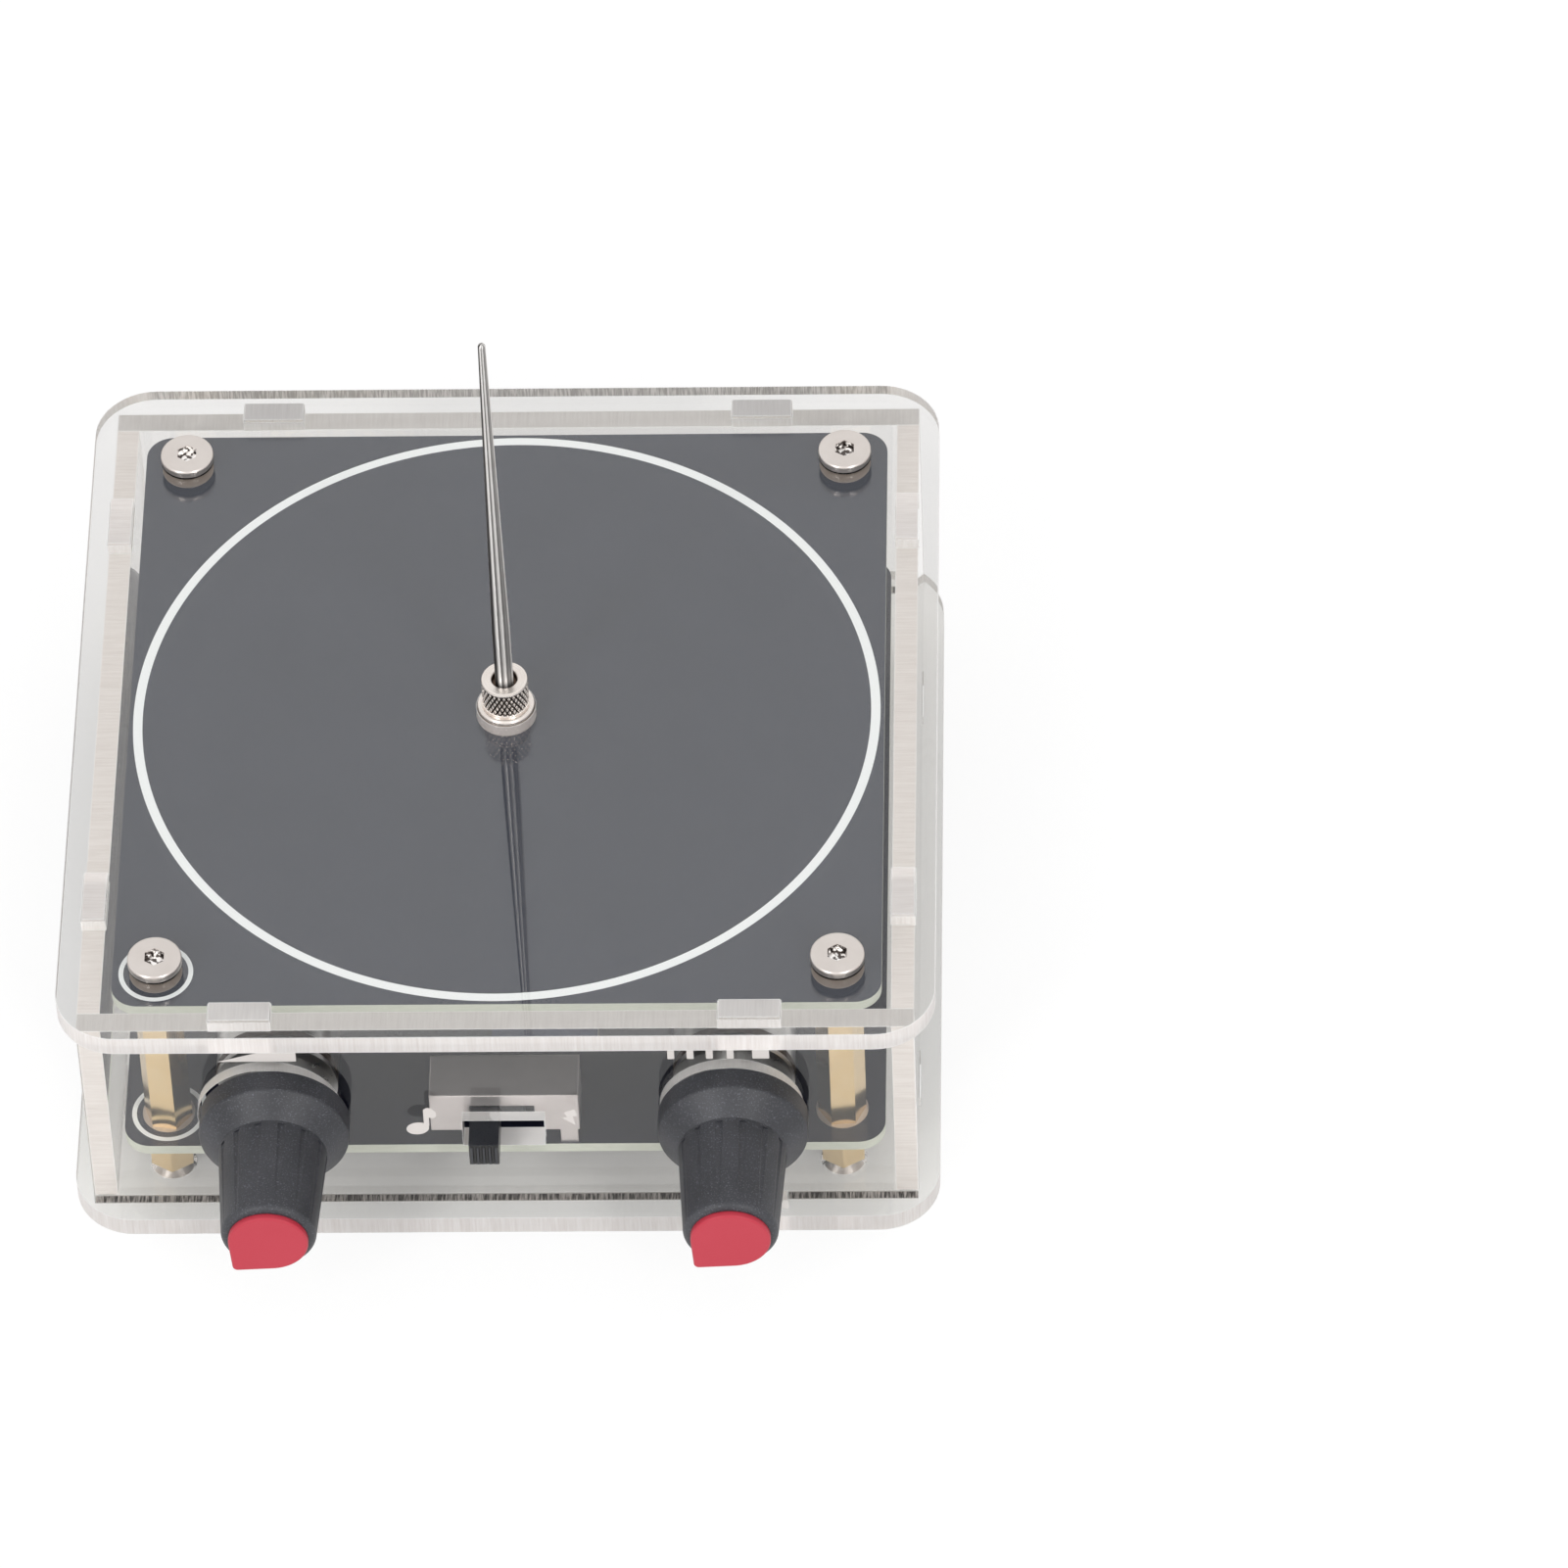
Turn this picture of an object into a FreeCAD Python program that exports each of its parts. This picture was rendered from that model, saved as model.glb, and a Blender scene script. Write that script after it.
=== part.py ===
import FreeCAD, Part
import math
import os

# Desktop resonant transformer: two circuit boards stacked in a clear acrylic box.
# Millimetres. X to the right, Y to the back, Z up.
# The origin is the middle of the bottom plate's underside, which the object stands on.

V = FreeCAD.Vector
RIGHT = V(1, 0, 0)
BACK = V(0, 1, 0)
FRONT = V(0, -1, 0)
UP = V(0, 0, 1)

os.makedirs("parts", exist_ok=True)

# Driving dimensions of the boards and the case
knob_spacing = 59.8
knob_screw_distance = 14.4
hole_inset = 5.7
board_thickness = 1.6
board_corner = 3.5
acrylic = 3.0
case_gap = 1.25
plate_overhang = 2.75
plate_corner = 8.0
overrun = 1.0

# Fastening
thread = 3.0
thread_clearance = 0.05
hole_clearance = 0.2
standoff_flats = 5.5
short_standoff = 7.0
tall_standoff = 23.8
front_left_turn = 20.5
front_right_turn = -25.5
back_left_turn = 8.0
back_right_turn = -14.0
stud_length = 6.0
blind_floor = 0.9
pad_thickness = 0.1
pad_diameter = 6.9
centre_pad_diameter = 7.9

top_head_diameter = 7.1
top_head_height = 1.4
top_head_round = 0.4
top_screw_bite = 5.0
top_socket_flats = 2.5
top_socket_depth = 0.9
bottom_head_diameter = 5.8
bottom_head_recess = 0.1
bottom_screw_bite = 4.6
bottom_socket_flats = 2.0
bottom_socket_depth = 1.1
countersink_clearance = 0.15

# Tabs of the walls and their slots
tab_width = 8.0
tab_place = 33.0
tab_proud = 0.4
tab_shy = 0.2
slot_gap = 0.1

# Discharge needle and its holder
needle_diameter = 2.4
needle_point_diameter = 1.0
needle_height = 69.8
needle_straight = 10.5
needle_fit = 0.05
socket_wall = 0.35
socket_depth = 12.0
socket_floor = 1.2
socket_hole_clearance = 0.2
thumb_nut_diameter = 6.2
thumb_nut_height = 5.3
thumb_nut_chamfer = 0.5
thumb_nut_fit = 0.07
nut_flange_diameter = 7.6
nut_flange_rise = 0.7
nut_flange_fit = 0.1
socket_shy = 0.8
socket_nut_flats = 6.0
socket_nut_height = 2.4

# Flat windings under the coil board
copper_thickness = 0.15
ring_inset = 1.1
winding_gap = 0.9
primary_turns = 3
primary_inset = 1.5
primary_band = 8.4
secondary_turns = 16
secondary_inner_radius = 6.5
secondary_inset = 2.6

# Potentiometers and their knobs
controls_offset = 0.5
pot_lift = 1.4
pot_inset = 2.5
pot_radius = 8.0
pot_plate = 0.8
wafer_thickness = 1.2
wafer_width = 14.0
wafer_lift = 0.8
case_depth = 6.5
case_wall = 0.4
bushing_wall = 0.5
bushing_length = 4.6
shaft_diameter = 6.0
shaft_fit = 0.05
shaft_grip = 12.0
rotor_diameter = 12.0
rotor_thickness = 1.6
rotor_gap = 0.6
pin_width = 1.2
pin_thickness = 0.5
pin_below = 0.8
pin_let_in = 2.0
pin_gap = 0.15
pot_pin_pitch = 5.0

knob_length = 20.0
knob_gap = 0.5
skirt_diameter = 19.6
skirt_edge = 3.0
skirt_slope = 3.0
skirt_round = 0.7
skirt_wall = 1.4
skirt_hollow = 1.6
hub_wall = 1.8
grip_diameter = 14.2
grip_front_diameter = 12.3
grip_round = 1.1
flute_count = 14
flute_diameter = 1.4
flute_depth = 0.28
flute_front_depth = 0.06
flute_stop = 0.4
cap_diameter = 10.4
cap_thickness = 0.9
cap_edge = 0.3
cap_corner_round = 0.7
cap_spigot_diameter = 7.0
cap_spigot_length = 2.4
cap_fit = 0.05
pointer_angle = 41.5

# Holes in the front wall
knob_hole_spread = 0.25
knob_hole_diameter = 18.6
lever_hole_side_gap = 1.1
lever_hole_height_gap = 0.6
lever_hole_offset = 0.3
lever_hole_rise = 0.35

# Slide switch
switch_depth = 6.9
switch_inset = 0.3
shell_offset = 0.3
shell_thickness = 0.4
shell_lift = 2.6
leg_width = 2.3
leg_inset = 0.25
lever_width = 3.9
lever_height = 3.8
lever_proud = 3.65
lever_round = 0.4
lever_travel = 4.4
lever_grooves = 4
groove_diameter = 0.52
groove_depth = 0.22
lever_side_gap = 0.1
lever_height_gap = 0.3
slider_reach = 3.15
slider_lap = 0.45
slider_thickness = 1.4
slider_gap = 0.3
slider_end_gap = 2.05
slider_foot_gap = 2.65
slider_roof_gap = 1.2
switch_pin_pitch = 4.0

# Power inlet
jack_length = 14.4
jack_flange = 3.4
jack_proud = 0.5
jack_axis_height = 6.5
jack_barrel_wall = 1.2
jack_bore_diameter = 6.4
jack_bore_depth = 9.4
jack_cover = 0.1
jack_pin_diameter = 2.0
jack_pin_tail_diameter = 1.6
jack_pin_shy = 0.8
jack_hole_side_gap = 1.15
jack_hole_clearance = 0.6
jack_tab_width = 2.4
jack_tab_thickness = 0.8

# Heat sink and the transistors screwed to it
sink_length = 42.0
sink_base = 3.0
sink_depth = 12.0
sink_headroom = 4.0
sink_lift = 0.4
fin_count = 8
fin_thickness = 1.2
package_width = 10.2
package_thickness = 4.4
package_height = 9.0
tab_thickness = 1.3
package_lift = 3.0
tab_hole_drop = 3.0
screw_body_gap = 0.7
lead_pitch = 2.54
lead_width = 0.9
lead_thickness = 0.5
sink_screw_head = 5.4
sink_screw_head_height = 2.0
sink_screw_bite = 2.4
sink_screw_socket = 2.5

# Other parts on the driver board
bulk_diameter = 12.5
bulk_headroom = 4.0
bulk_groove = 0.4
bulk_groove_height = 2.6
bulk_round = 0.8
film_length = 13.0
film_width = 5.0
film_height = 11.0
film_round = 0.7
film_lead_inset = 1.5
wire_diameter = 0.7
choke_outer_diameter = 20.0
choke_inner_diameter = 10.0
choke_height = 8.0
choke_wire = 1.0
choke_gap_angle = 50.0
feedback_outer_diameter = 12.0
feedback_inner_diameter = 6.0
feedback_height = 5.0
feedback_wire = 0.6
feedback_gap_angle = 70.0
chip_end = 0.99
chip_width = 6.4
chip_height = 3.3
chip_lift = 0.5
chip_notch = 0.9
chip_legs_a_side = 4
chip_leg_width = 0.5
chip_leg_thickness = 0.25
receiver_length = 20.0
receiver_width = 14.0
receiver_thickness = 1.0
receiver_lift = 0.3
shield_length = 11.0
shield_width = 11.0
shield_height = 1.8
shield_margin = 1.2
resistor_diameter = 3.6
resistor_waist = 3.0
resistor_length = 9.0
resistor_lead_reach = 2.5
resistor_lift = 0.6

# Places on the driver board, as shares of its side, from its middle
sink_place_share = (-0.17, 0.06)
transistor_share = (-0.26, 0.26)
regulator_place_share = (0.36, 0.17)
bulk_place_share = ((0.20, 0.34), (0.20, 0.16))
film_place_share = ((0.30, 0.00), (0.30, -0.09), (0.30, -0.18))
choke_place_share = (-0.26, 0.33)
feedback_place_share = (0.13, -0.03)
chip_place_share = ((-0.34, -0.10), (-0.18, -0.10), (-0.34, -0.22))
receiver_place_share = (0.05, -0.24)
resistor_place_share = ((-0.17, -0.20), (-0.17, -0.26))

# Sizes that follow from the pieces that they hold
board_side = knob_spacing + 2 * (knob_screw_distance + hole_inset)
bushing_diameter = shaft_diameter + 2 * bushing_wall
hub_diameter = shaft_diameter + 2 * hub_wall
knob_hole_spacing = knob_spacing + 2 * knob_hole_spread
slot_width = lever_width + lever_travel + 2 * lever_side_gap
slot_height = lever_height + 2 * lever_height_gap
slider_width = lever_width + 2 * slider_reach
slider_height = slot_height + 2 * slider_lap
switch_width = slider_width + lever_travel + 2 * (slider_end_gap + shell_thickness)
switch_height = slider_foot_gap + slider_height + slider_roof_gap + shell_thickness
lever_hole_width = slot_width + 2 * lever_hole_side_gap
lever_hole_height = lever_height + 2 * lever_hole_height_gap
jack_barrel_radius = jack_bore_diameter / 2 + jack_barrel_wall
jack_width = 2 * (jack_barrel_radius + jack_cover)
jack_height = jack_axis_height + jack_barrel_radius + jack_cover
jack_hole_width = jack_width + 2 * jack_hole_side_gap
tab_hole_diameter = thread + 2 * hole_clearance
tab_hole_rise = sink_screw_head / 2 + screw_body_gap
tab_height = tab_hole_rise + tab_hole_drop
film_lead_pitch = film_length - 2 * film_lead_inset
chip_length = (chip_legs_a_side - 1) * lead_pitch + 2 * chip_end

# Heights of the stack, worked out from the pieces in it
floor_top = acrylic
driver_bottom = floor_top + short_standoff
driver_top = driver_bottom + board_thickness
coil_bottom = driver_top + pad_thickness + tall_standoff
coil_top = coil_bottom + board_thickness
lid_bottom = coil_top + pad_thickness
lid_top = lid_bottom + acrylic
between_boards = coil_bottom - driver_top

# Places in plan
half_board = board_side / 2
wall_inner = half_board + case_gap
wall_outer = wall_inner + acrylic
half_plate = wall_outer + plate_overhang
screw_place = half_board - hole_inset
screw_hole_radius = thread / 2 + hole_clearance
tapped_radius = thread / 2 + thread_clearance
socket_radius = needle_diameter / 2 + needle_fit + socket_wall
knob_axis = driver_top + pot_lift + pot_radius
knob_back = -wall_outer - knob_gap
pot_front = -half_board + pot_inset
lever_middle = driver_top + slider_foot_gap + slider_height / 2
switch_front = -half_board + switch_inset
jack_front = wall_outer + jack_proud
jack_axis = driver_top + jack_axis_height
ring_radius = half_board - ring_inset
nut_hole_radius = nut_flange_diameter / 2 + nut_flange_fit
corners = [(sx * screw_place, sy * screw_place) for sx in (-1, 1) for sy in (-1, 1)]


# Small helpers for solids

def block(x_span, y_span, z_span):
    """A box from three (low, high) pairs."""
    corner = V(x_span[0], y_span[0], z_span[0])
    size = [high - low for low, high in (x_span, y_span, z_span)]
    return Part.makeBox(size[0], size[1], size[2], corner)


def about(middle, width):
    """The (low, high) pair of a width about its middle."""
    return (middle - width / 2, middle + width / 2)


def rod(radius, start, length, axis=UP):
    return Part.makeCylinder(radius, length, start, axis)


def ring(outer, inner, start, length, axis=UP):
    """A tube; its bore runs through."""
    return rod(outer, start, length, axis).cut(rod(inner, start, length, axis))


def hexagon(flats, start, length, turn=0):
    """A hexagonal prism along Z with the given distance across its flats, turned by an angle in degrees."""
    reach = flats / math.sqrt(3)
    turns = [math.radians(60 * k + 30 + turn) for k in range(7)]
    points = [start + V(reach * math.cos(a), reach * math.sin(a), 0) for a in turns]
    return Part.Face(Part.makePolygon(points)).extrude(UP * length)


def rounded_plate(half_x, half_y, corner, low, thickness):
    """A flat plate with round corners, centred on the Z axis."""
    plate = block((-half_x, half_x), (-half_y, half_y), (low, low + thickness))
    upright = [e for e in plate.Edges if abs(e.tangentAt(e.FirstParameter).z) > 0.5]
    return plate.makeFillet(corner, upright)


def turned(points, start, axis, roundings={}):
    """A solid of revolution. Each point is (distance along the axis, radius).

    roundings gives the radius of the arc that replaces the corner at a point, by its number.
    """
    side = UP if abs(axis.z) < 0.5 else RIGHT
    loop = [start + axis * along + side * radius for along, radius in points]
    edges = []
    last = None
    for k, corner in enumerate(loop):
        reach = [(loop[k - 1] - corner).normalize(), (loop[(k + 1) % len(loop)] - corner).normalize()]
        ends = [corner, corner]
        if k in roundings:
            half = reach[0].getAngle(reach[1]) / 2
            ends = [corner + way * (roundings[k] / math.tan(half)) for way in reach]
            inward = (reach[0] + reach[1]).normalize()
            middle = corner + inward * (roundings[k] / math.sin(half) - roundings[k])
        if last:
            edges.append(Part.makeLine(last, ends[0]))
        else:
            first = ends[0]
        if k in roundings:
            edges.append(Part.Arc(ends[0], middle, ends[1]).toShape())
        last = ends[1]
    edges.append(Part.makeLine(last, first))
    return Part.Face(Part.Wire(edges)).revolve(start, axis, 360)


def joined(shapes):
    """One solid from pieces that touch or overlap."""
    return shapes[0].fuse(shapes[1:]).removeSplitter() if len(shapes) > 1 else shapes[0]


def group(shapes):
    """Separate solids kept in one node."""
    return Part.makeCompound(shapes)


def save(name, shape):
    shape.exportStep("parts/" + name + ".step")
    solids = shape.Solids
    print(name, len(solids), "solids", round(sum(s.Volume for s in solids), 2), "mm3")


# Case

def wall_tabs(middle_x, middle_y, along_x):
    """The four tabs of one wall, two into the lid and two into the floor."""
    tabs = []
    for side in (-tab_place, tab_place):
        wide, thin = about(side, tab_width), acrylic
        x_span = wide if along_x else about(middle_x, thin)
        y_span = about(middle_y, thin) if along_x else wide
        tabs.append(block(x_span, y_span, (lid_bottom, lid_top + tab_proud)))
        tabs.append(block(x_span, y_span, (tab_shy, floor_top)))
    return tabs


def plate_slots(low, high):
    """Slots for all eight tabs through one plate."""
    slots = []
    middle = wall_inner + acrylic / 2
    for side in (-tab_place, tab_place):
        for sign in (-1, 1):
            long_span = about(side, tab_width + 2 * slot_gap)
            thin_span = about(sign * middle, acrylic + 2 * slot_gap)
            slots.append(block(long_span, thin_span, (low - overrun, high + overrun)))
            slots.append(block(thin_span, long_span, (low - overrun, high + overrun)))
    return slots


def corner_holes(radius, low, high):
    length = high - low + 2 * overrun
    return [rod(radius, V(x, y, low - overrun), length) for x, y in corners]


def bottom_plate():
    plate = rounded_plate(half_plate, half_plate, plate_corner, 0, acrylic)
    head = bottom_head_diameter / 2 + countersink_clearance
    deep = head - screw_hole_radius
    sinks = [Part.makeCone(head, screw_hole_radius, deep, V(x, y, 0), UP) for x, y in corners]
    holes = corner_holes(screw_hole_radius, 0, acrylic)
    return plate.cut(plate_slots(0, floor_top) + holes + sinks)


def top_plate():
    plate = rounded_plate(half_plate, half_plate, plate_corner, lid_bottom, acrylic)
    holes = corner_holes(screw_hole_radius, lid_bottom, lid_top)
    middle = rod(nut_hole_radius, V(0, 0, lid_bottom - overrun), acrylic + 2 * overrun)
    return plate.cut(plate_slots(lid_bottom, lid_top) + holes + [middle])


def long_wall(sign):
    """Front or back wall, as wide as the whole box."""
    middle = sign * (wall_inner + acrylic / 2)
    y_span = about(middle, acrylic)
    sheet = block((-wall_outer, wall_outer), y_span, (floor_top, lid_bottom))
    return joined([sheet] + wall_tabs(0, middle, True))


def side_wall(sign):
    """Left or right wall, held between the front and back walls."""
    middle = sign * (wall_inner + acrylic / 2)
    x_span = about(middle, acrylic)
    sheet = block(x_span, (-wall_inner, wall_inner), (floor_top, lid_bottom))
    return joined([sheet] + wall_tabs(middle, 0, False))


def front_wall():
    through = acrylic + 2 * overrun
    start = -wall_outer - overrun
    cuts = []
    for sign in (-1, 1):
        place = V(sign * knob_hole_spacing / 2, start, knob_axis)
        cuts.append(rod(knob_hole_diameter / 2, place, through, BACK))
    cuts.append(block(
        about(lever_hole_offset, lever_hole_width),
        (start, start + through),
        about(lever_middle + lever_hole_rise, lever_hole_height),
    ))
    return long_wall(-1).cut(cuts)


def back_wall():
    opening = block(
        about(0, jack_hole_width),
        (wall_inner - overrun, wall_outer + overrun),
        (driver_top - jack_hole_clearance, driver_top + jack_height + jack_hole_clearance),
    )
    return long_wall(1).cut(opening)


# Boards, their pads and windings

def pin_holes():
    """Holes through the driver board for every pin that passes it."""
    length = board_thickness + 2 * overrun
    low = driver_bottom - overrun
    holes = []
    for x, y, radius in board_pins():
        holes.append(rod(radius + pin_gap, V(x, y, low), length))
    return holes


def driver_board():
    board = rounded_plate(half_board, half_board, board_corner, driver_bottom, board_thickness)
    return board.cut(corner_holes(screw_hole_radius, driver_bottom, driver_top) + pin_holes())


def coil_board():
    board = rounded_plate(half_board, half_board, board_corner, coil_bottom, board_thickness)
    middle = rod(
        socket_radius + socket_hole_clearance,
        V(0, 0, coil_bottom - overrun),
        board_thickness + 2 * overrun,
    )
    return board.cut(corner_holes(screw_hole_radius, coil_bottom, coil_top) + [middle])


def pad(place, diameter, bore):
    return ring(diameter / 2, bore, place, pad_thickness)


def coil_pads():
    pads = [pad(V(x, y, coil_top), pad_diameter, screw_hole_radius) for x, y in corners]
    bore = socket_radius + socket_hole_clearance
    pads.append(pad(V(0, 0, coil_top), centre_pad_diameter, bore))
    return group(pads)


def driver_pads():
    return group([pad(V(x, y, driver_top), pad_diameter, screw_hole_radius) for x, y in corners])


def half_turns(radius, pitch, turns, shift):
    """One edge of a flat spiral: half circles about two centres, joined in line."""
    edges = []
    for k in range(2 * turns):
        reach = radius + k * pitch / 2 + shift
        centre = 0 if k % 2 == 0 else pitch / 2
        way = 1 if k % 2 == 0 else -1
        points = [
            V(centre + way * reach, 0, 0),
            V(centre, way * reach, 0),
            V(centre - way * reach, 0, 0),
        ]
        edges.append(Part.Arc(points[0], points[1], points[2]).toShape())
    return edges, edges[0].Vertexes[0].Point, points[2]


def flat_winding(inner, outer, turns):
    """A copper strip wound flat under the coil board."""
    pitch = (outer - inner) / turns
    width = pitch - winding_gap
    first = inner + pitch / 2
    inside, inside_start, inside_end = half_turns(first, pitch, turns - 1, -width / 2)
    outside, outside_start, outside_end = half_turns(first, pitch, turns - 1, width / 2)
    ends = [Part.makeLine(inside_start, outside_start), Part.makeLine(inside_end, outside_end)]
    outline = Part.Wire(Part.__sortEdges__(inside + outside + ends))
    strip = Part.Face(outline).extrude(UP * copper_thickness)
    strip.translate(UP * (coil_bottom - copper_thickness))
    print("winding of", turns - 1, "turns, gap between turns", round(pitch - width, 3))
    return strip


primary_outer = ring_radius - primary_inset
primary_inner = primary_outer - primary_band
secondary_outer = primary_inner - secondary_inset


# Screws and standoffs

def top_screw(x, y):
    head = rod(top_head_diameter / 2, V(x, y, lid_top), top_head_height)
    rim = [e for e in head.Edges if abs(e.BoundBox.ZMin - lid_top - top_head_height) < 1e-6]
    rim = [e for e in rim if len(e.Vertexes) == 1]
    head = head.makeFillet(top_head_round, rim)
    low = lid_bottom - pad_thickness - board_thickness - top_screw_bite
    shank = rod(thread / 2, V(x, y, low), lid_top - low)
    bottom = lid_top + top_head_height - top_socket_depth
    socket = hexagon(top_socket_flats, V(x, y, bottom), top_socket_depth + overrun)
    return joined([head, shank]).cut(socket)


def bottom_screw(x, y):
    head_radius = bottom_head_diameter / 2
    deep = head_radius - thread / 2
    high = floor_top + bottom_screw_bite
    profile = [
        (bottom_head_recess, 0),
        (bottom_head_recess, head_radius),
        (bottom_head_recess + deep, thread / 2),
        (high, thread / 2),
        (high, 0),
    ]
    screw = turned(profile, V(x, y, 0), UP)
    low = bottom_head_recess - overrun
    return screw.cut(hexagon(bottom_socket_flats, V(x, y, low), bottom_socket_depth + overrun))


def short_standoff_piece(x, y):
    body = hexagon(standoff_flats, V(x, y, floor_top), short_standoff)
    stud = rod(thread / 2, V(x, y, driver_bottom), stud_length)
    hole_length = short_standoff - blind_floor + overrun
    hole = rod(tapped_radius, V(x, y, floor_top - overrun), hole_length)
    return joined([body, stud]).cut(hole)


def tall_standoff_piece(x, y, turn):
    low = driver_top + pad_thickness
    body = hexagon(standoff_flats, V(x, y, low), tall_standoff, turn)
    return body.cut(rod(tapped_radius, V(x, y, low - overrun), tall_standoff + 2 * overrun))


# Discharge needle, its socket and the nuts on it

def needle_socket():
    """A tube through the lid and the coil board, closed at its foot, with a flange below."""
    top = lid_top + thumb_nut_height - socket_shy
    low = top - socket_depth - socket_floor
    tube = rod(socket_radius, V(0, 0, low), top - low)
    bore = rod(needle_diameter / 2 + needle_fit, V(0, 0, low + socket_floor), socket_depth + overrun)
    return tube.cut(bore)


def socket_nut():
    """The hexagon nut soldered to the coil board's underside, which holds the socket."""
    low = coil_bottom - copper_thickness - socket_nut_height
    flange = rod(centre_pad_diameter / 2, V(0, 0, coil_bottom - copper_thickness), copper_thickness)
    body = joined([hexagon(socket_nut_flats, V(0, 0, low), socket_nut_height), flange])
    return body.cut(rod(socket_radius, V(0, 0, low - overrun), socket_nut_height + 2 * overrun))


def thumb_nut():
    """The nut stands on the coil board's pad. Its flange passes the lid's hole."""
    bore = socket_radius + thumb_nut_fit
    outer = thumb_nut_diameter / 2
    flange = nut_flange_diameter / 2
    chamfer = thumb_nut_chamfer
    flange_top = lid_top - lid_bottom + nut_flange_rise
    top = lid_top - lid_bottom + thumb_nut_height
    profile = [
        (0, bore),
        (0, flange),
        (flange_top - chamfer / 2, flange),
        (flange_top, flange - chamfer / 2),
        (flange_top, outer),
        (top - chamfer / 2, outer),
        (top, outer - chamfer / 2),
        (top, bore),
    ]
    return turned(profile, V(0, 0, lid_bottom), UP)


def needle():
    foot = lid_top + thumb_nut_height - socket_shy - socket_depth
    taper_start = lid_top + thumb_nut_height + needle_straight
    tip = lid_top + needle_height
    tip_radius = needle_point_diameter / 2
    shank = rod(needle_diameter / 2, V(0, 0, foot), taper_start - foot)
    ball = tip - tip_radius
    cone = Part.makeCone(needle_diameter / 2, tip_radius, ball - taper_start, V(0, 0, taper_start), UP)
    return joined([shank, cone, Part.makeSphere(tip_radius, V(0, 0, ball))])


# Potentiometers and knobs

def pot_bushing(x):
    """The front plate with its threaded bushing."""
    place = V(x, pot_front, knob_axis)
    plate = rod(pot_radius, place, pot_plate, BACK)
    bushing = rod(bushing_diameter / 2, place, bushing_length, FRONT)
    start = V(x, pot_front - bushing_length - overrun, knob_axis)
    length = bushing_length + pot_plate + 2 * overrun
    return joined([plate, bushing]).cut(rod(shaft_diameter / 2 + shaft_fit, start, length, BACK))


def pot_pin_places(x):
    y = pot_front + pot_plate + wafer_thickness / 2
    return [(x + k * pot_pin_pitch, y) for k in (-1, 0, 1)]


def flat_pin(x, y, high):
    """A flat pin from a height down through the driver board."""
    z_span = (driver_bottom - pin_below, high)
    return block(about(x, pin_width), about(y, pin_thickness), z_span)


def pot_pins(x):
    high = driver_top + wafer_lift + pin_let_in
    return group([flat_pin(px, py, high) for px, py in pot_pin_places(x)])


def pot_wafer(x):
    """The brown board that holds the track and the pins."""
    low = pot_front + pot_plate
    disc = rod(pot_radius, V(x, low, knob_axis), wafer_thickness, BACK)
    skirt = block(
        about(x, wafer_width),
        (low, low + wafer_thickness),
        (driver_top + wafer_lift, knob_axis),
    )
    hole = rod(
        shaft_diameter / 2 + pin_gap,
        V(x, low - overrun, knob_axis),
        wafer_thickness + 2 * overrun,
        BACK,
    )
    return joined([disc, skirt]).cut([hole] + pot_pins(x).Solids)


def pot_case(x):
    start = pot_front + pot_plate + wafer_thickness
    place = V(x, start, knob_axis)
    hollow = rod(pot_radius - case_wall, place, case_depth - case_wall, BACK)
    return rod(pot_radius, place, case_depth, BACK).cut(hollow)


def pot_shaft(x):
    """The shaft with the rotor that turns inside the case."""
    rotor_start = pot_front + pot_plate + wafer_thickness + rotor_gap
    back = rotor_start + rotor_thickness
    front = knob_back - shaft_grip
    shaft = rod(shaft_diameter / 2, V(x, front, knob_axis), back - front, BACK)
    rotor = rod(rotor_diameter / 2, V(x, rotor_start, knob_axis), rotor_thickness, BACK)
    return joined([shaft, rotor])


def knob_flutes(x):
    """Cutters for the grooves that run along the tapered grip."""
    grip_start = skirt_edge + skirt_slope + flute_stop
    run = knob_length - grip_start + overrun
    narrowing = (grip_diameter - grip_front_diameter) / 2 - flute_depth + flute_front_depth
    lean = math.degrees(math.atan(narrowing / run))
    cutters = []
    for k in range(flute_count):
        out = grip_diameter / 2 + flute_diameter / 2 - flute_depth
        start = V(x + out, knob_back - grip_start, knob_axis)
        cutter = rod(flute_diameter / 2, start, run, FRONT)
        cutter.rotate(start, UP, -lean)
        cutter.rotate(V(x, 0, knob_axis), BACK, 360 * k / flute_count)
        cutters.append(cutter)
    return cutters


def knob(x):
    """Skirt and fluted grip in one moulding, hollow behind the skirt."""
    skirt = skirt_diameter / 2
    profile = [
        (0, 0),
        (0, skirt),
        (skirt_edge, skirt),
        (skirt_edge + skirt_slope, grip_diameter / 2),
        (knob_length, grip_front_diameter / 2),
        (knob_length, 0),
    ]
    roundings = {2: skirt_round, 4: grip_round}
    body = turned(profile, V(x, knob_back, knob_axis), FRONT, roundings)
    body = body.cut(knob_flutes(x))
    hollow_start = V(x, knob_back + overrun, knob_axis)
    hollow = ring(skirt - skirt_wall, hub_diameter / 2, hollow_start, skirt_hollow + overrun, FRONT)
    bore = rod(shaft_diameter / 2 + cap_fit, hollow_start, shaft_grip + overrun, FRONT)
    recess_start = V(x, knob_back - knob_length - overrun, knob_axis)
    recess_depth = cap_spigot_length + cap_fit + overrun
    recess = rod(cap_spigot_diameter / 2 + cap_fit, recess_start, recess_depth, BACK)
    return body.cut([hollow, bore, recess])


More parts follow.
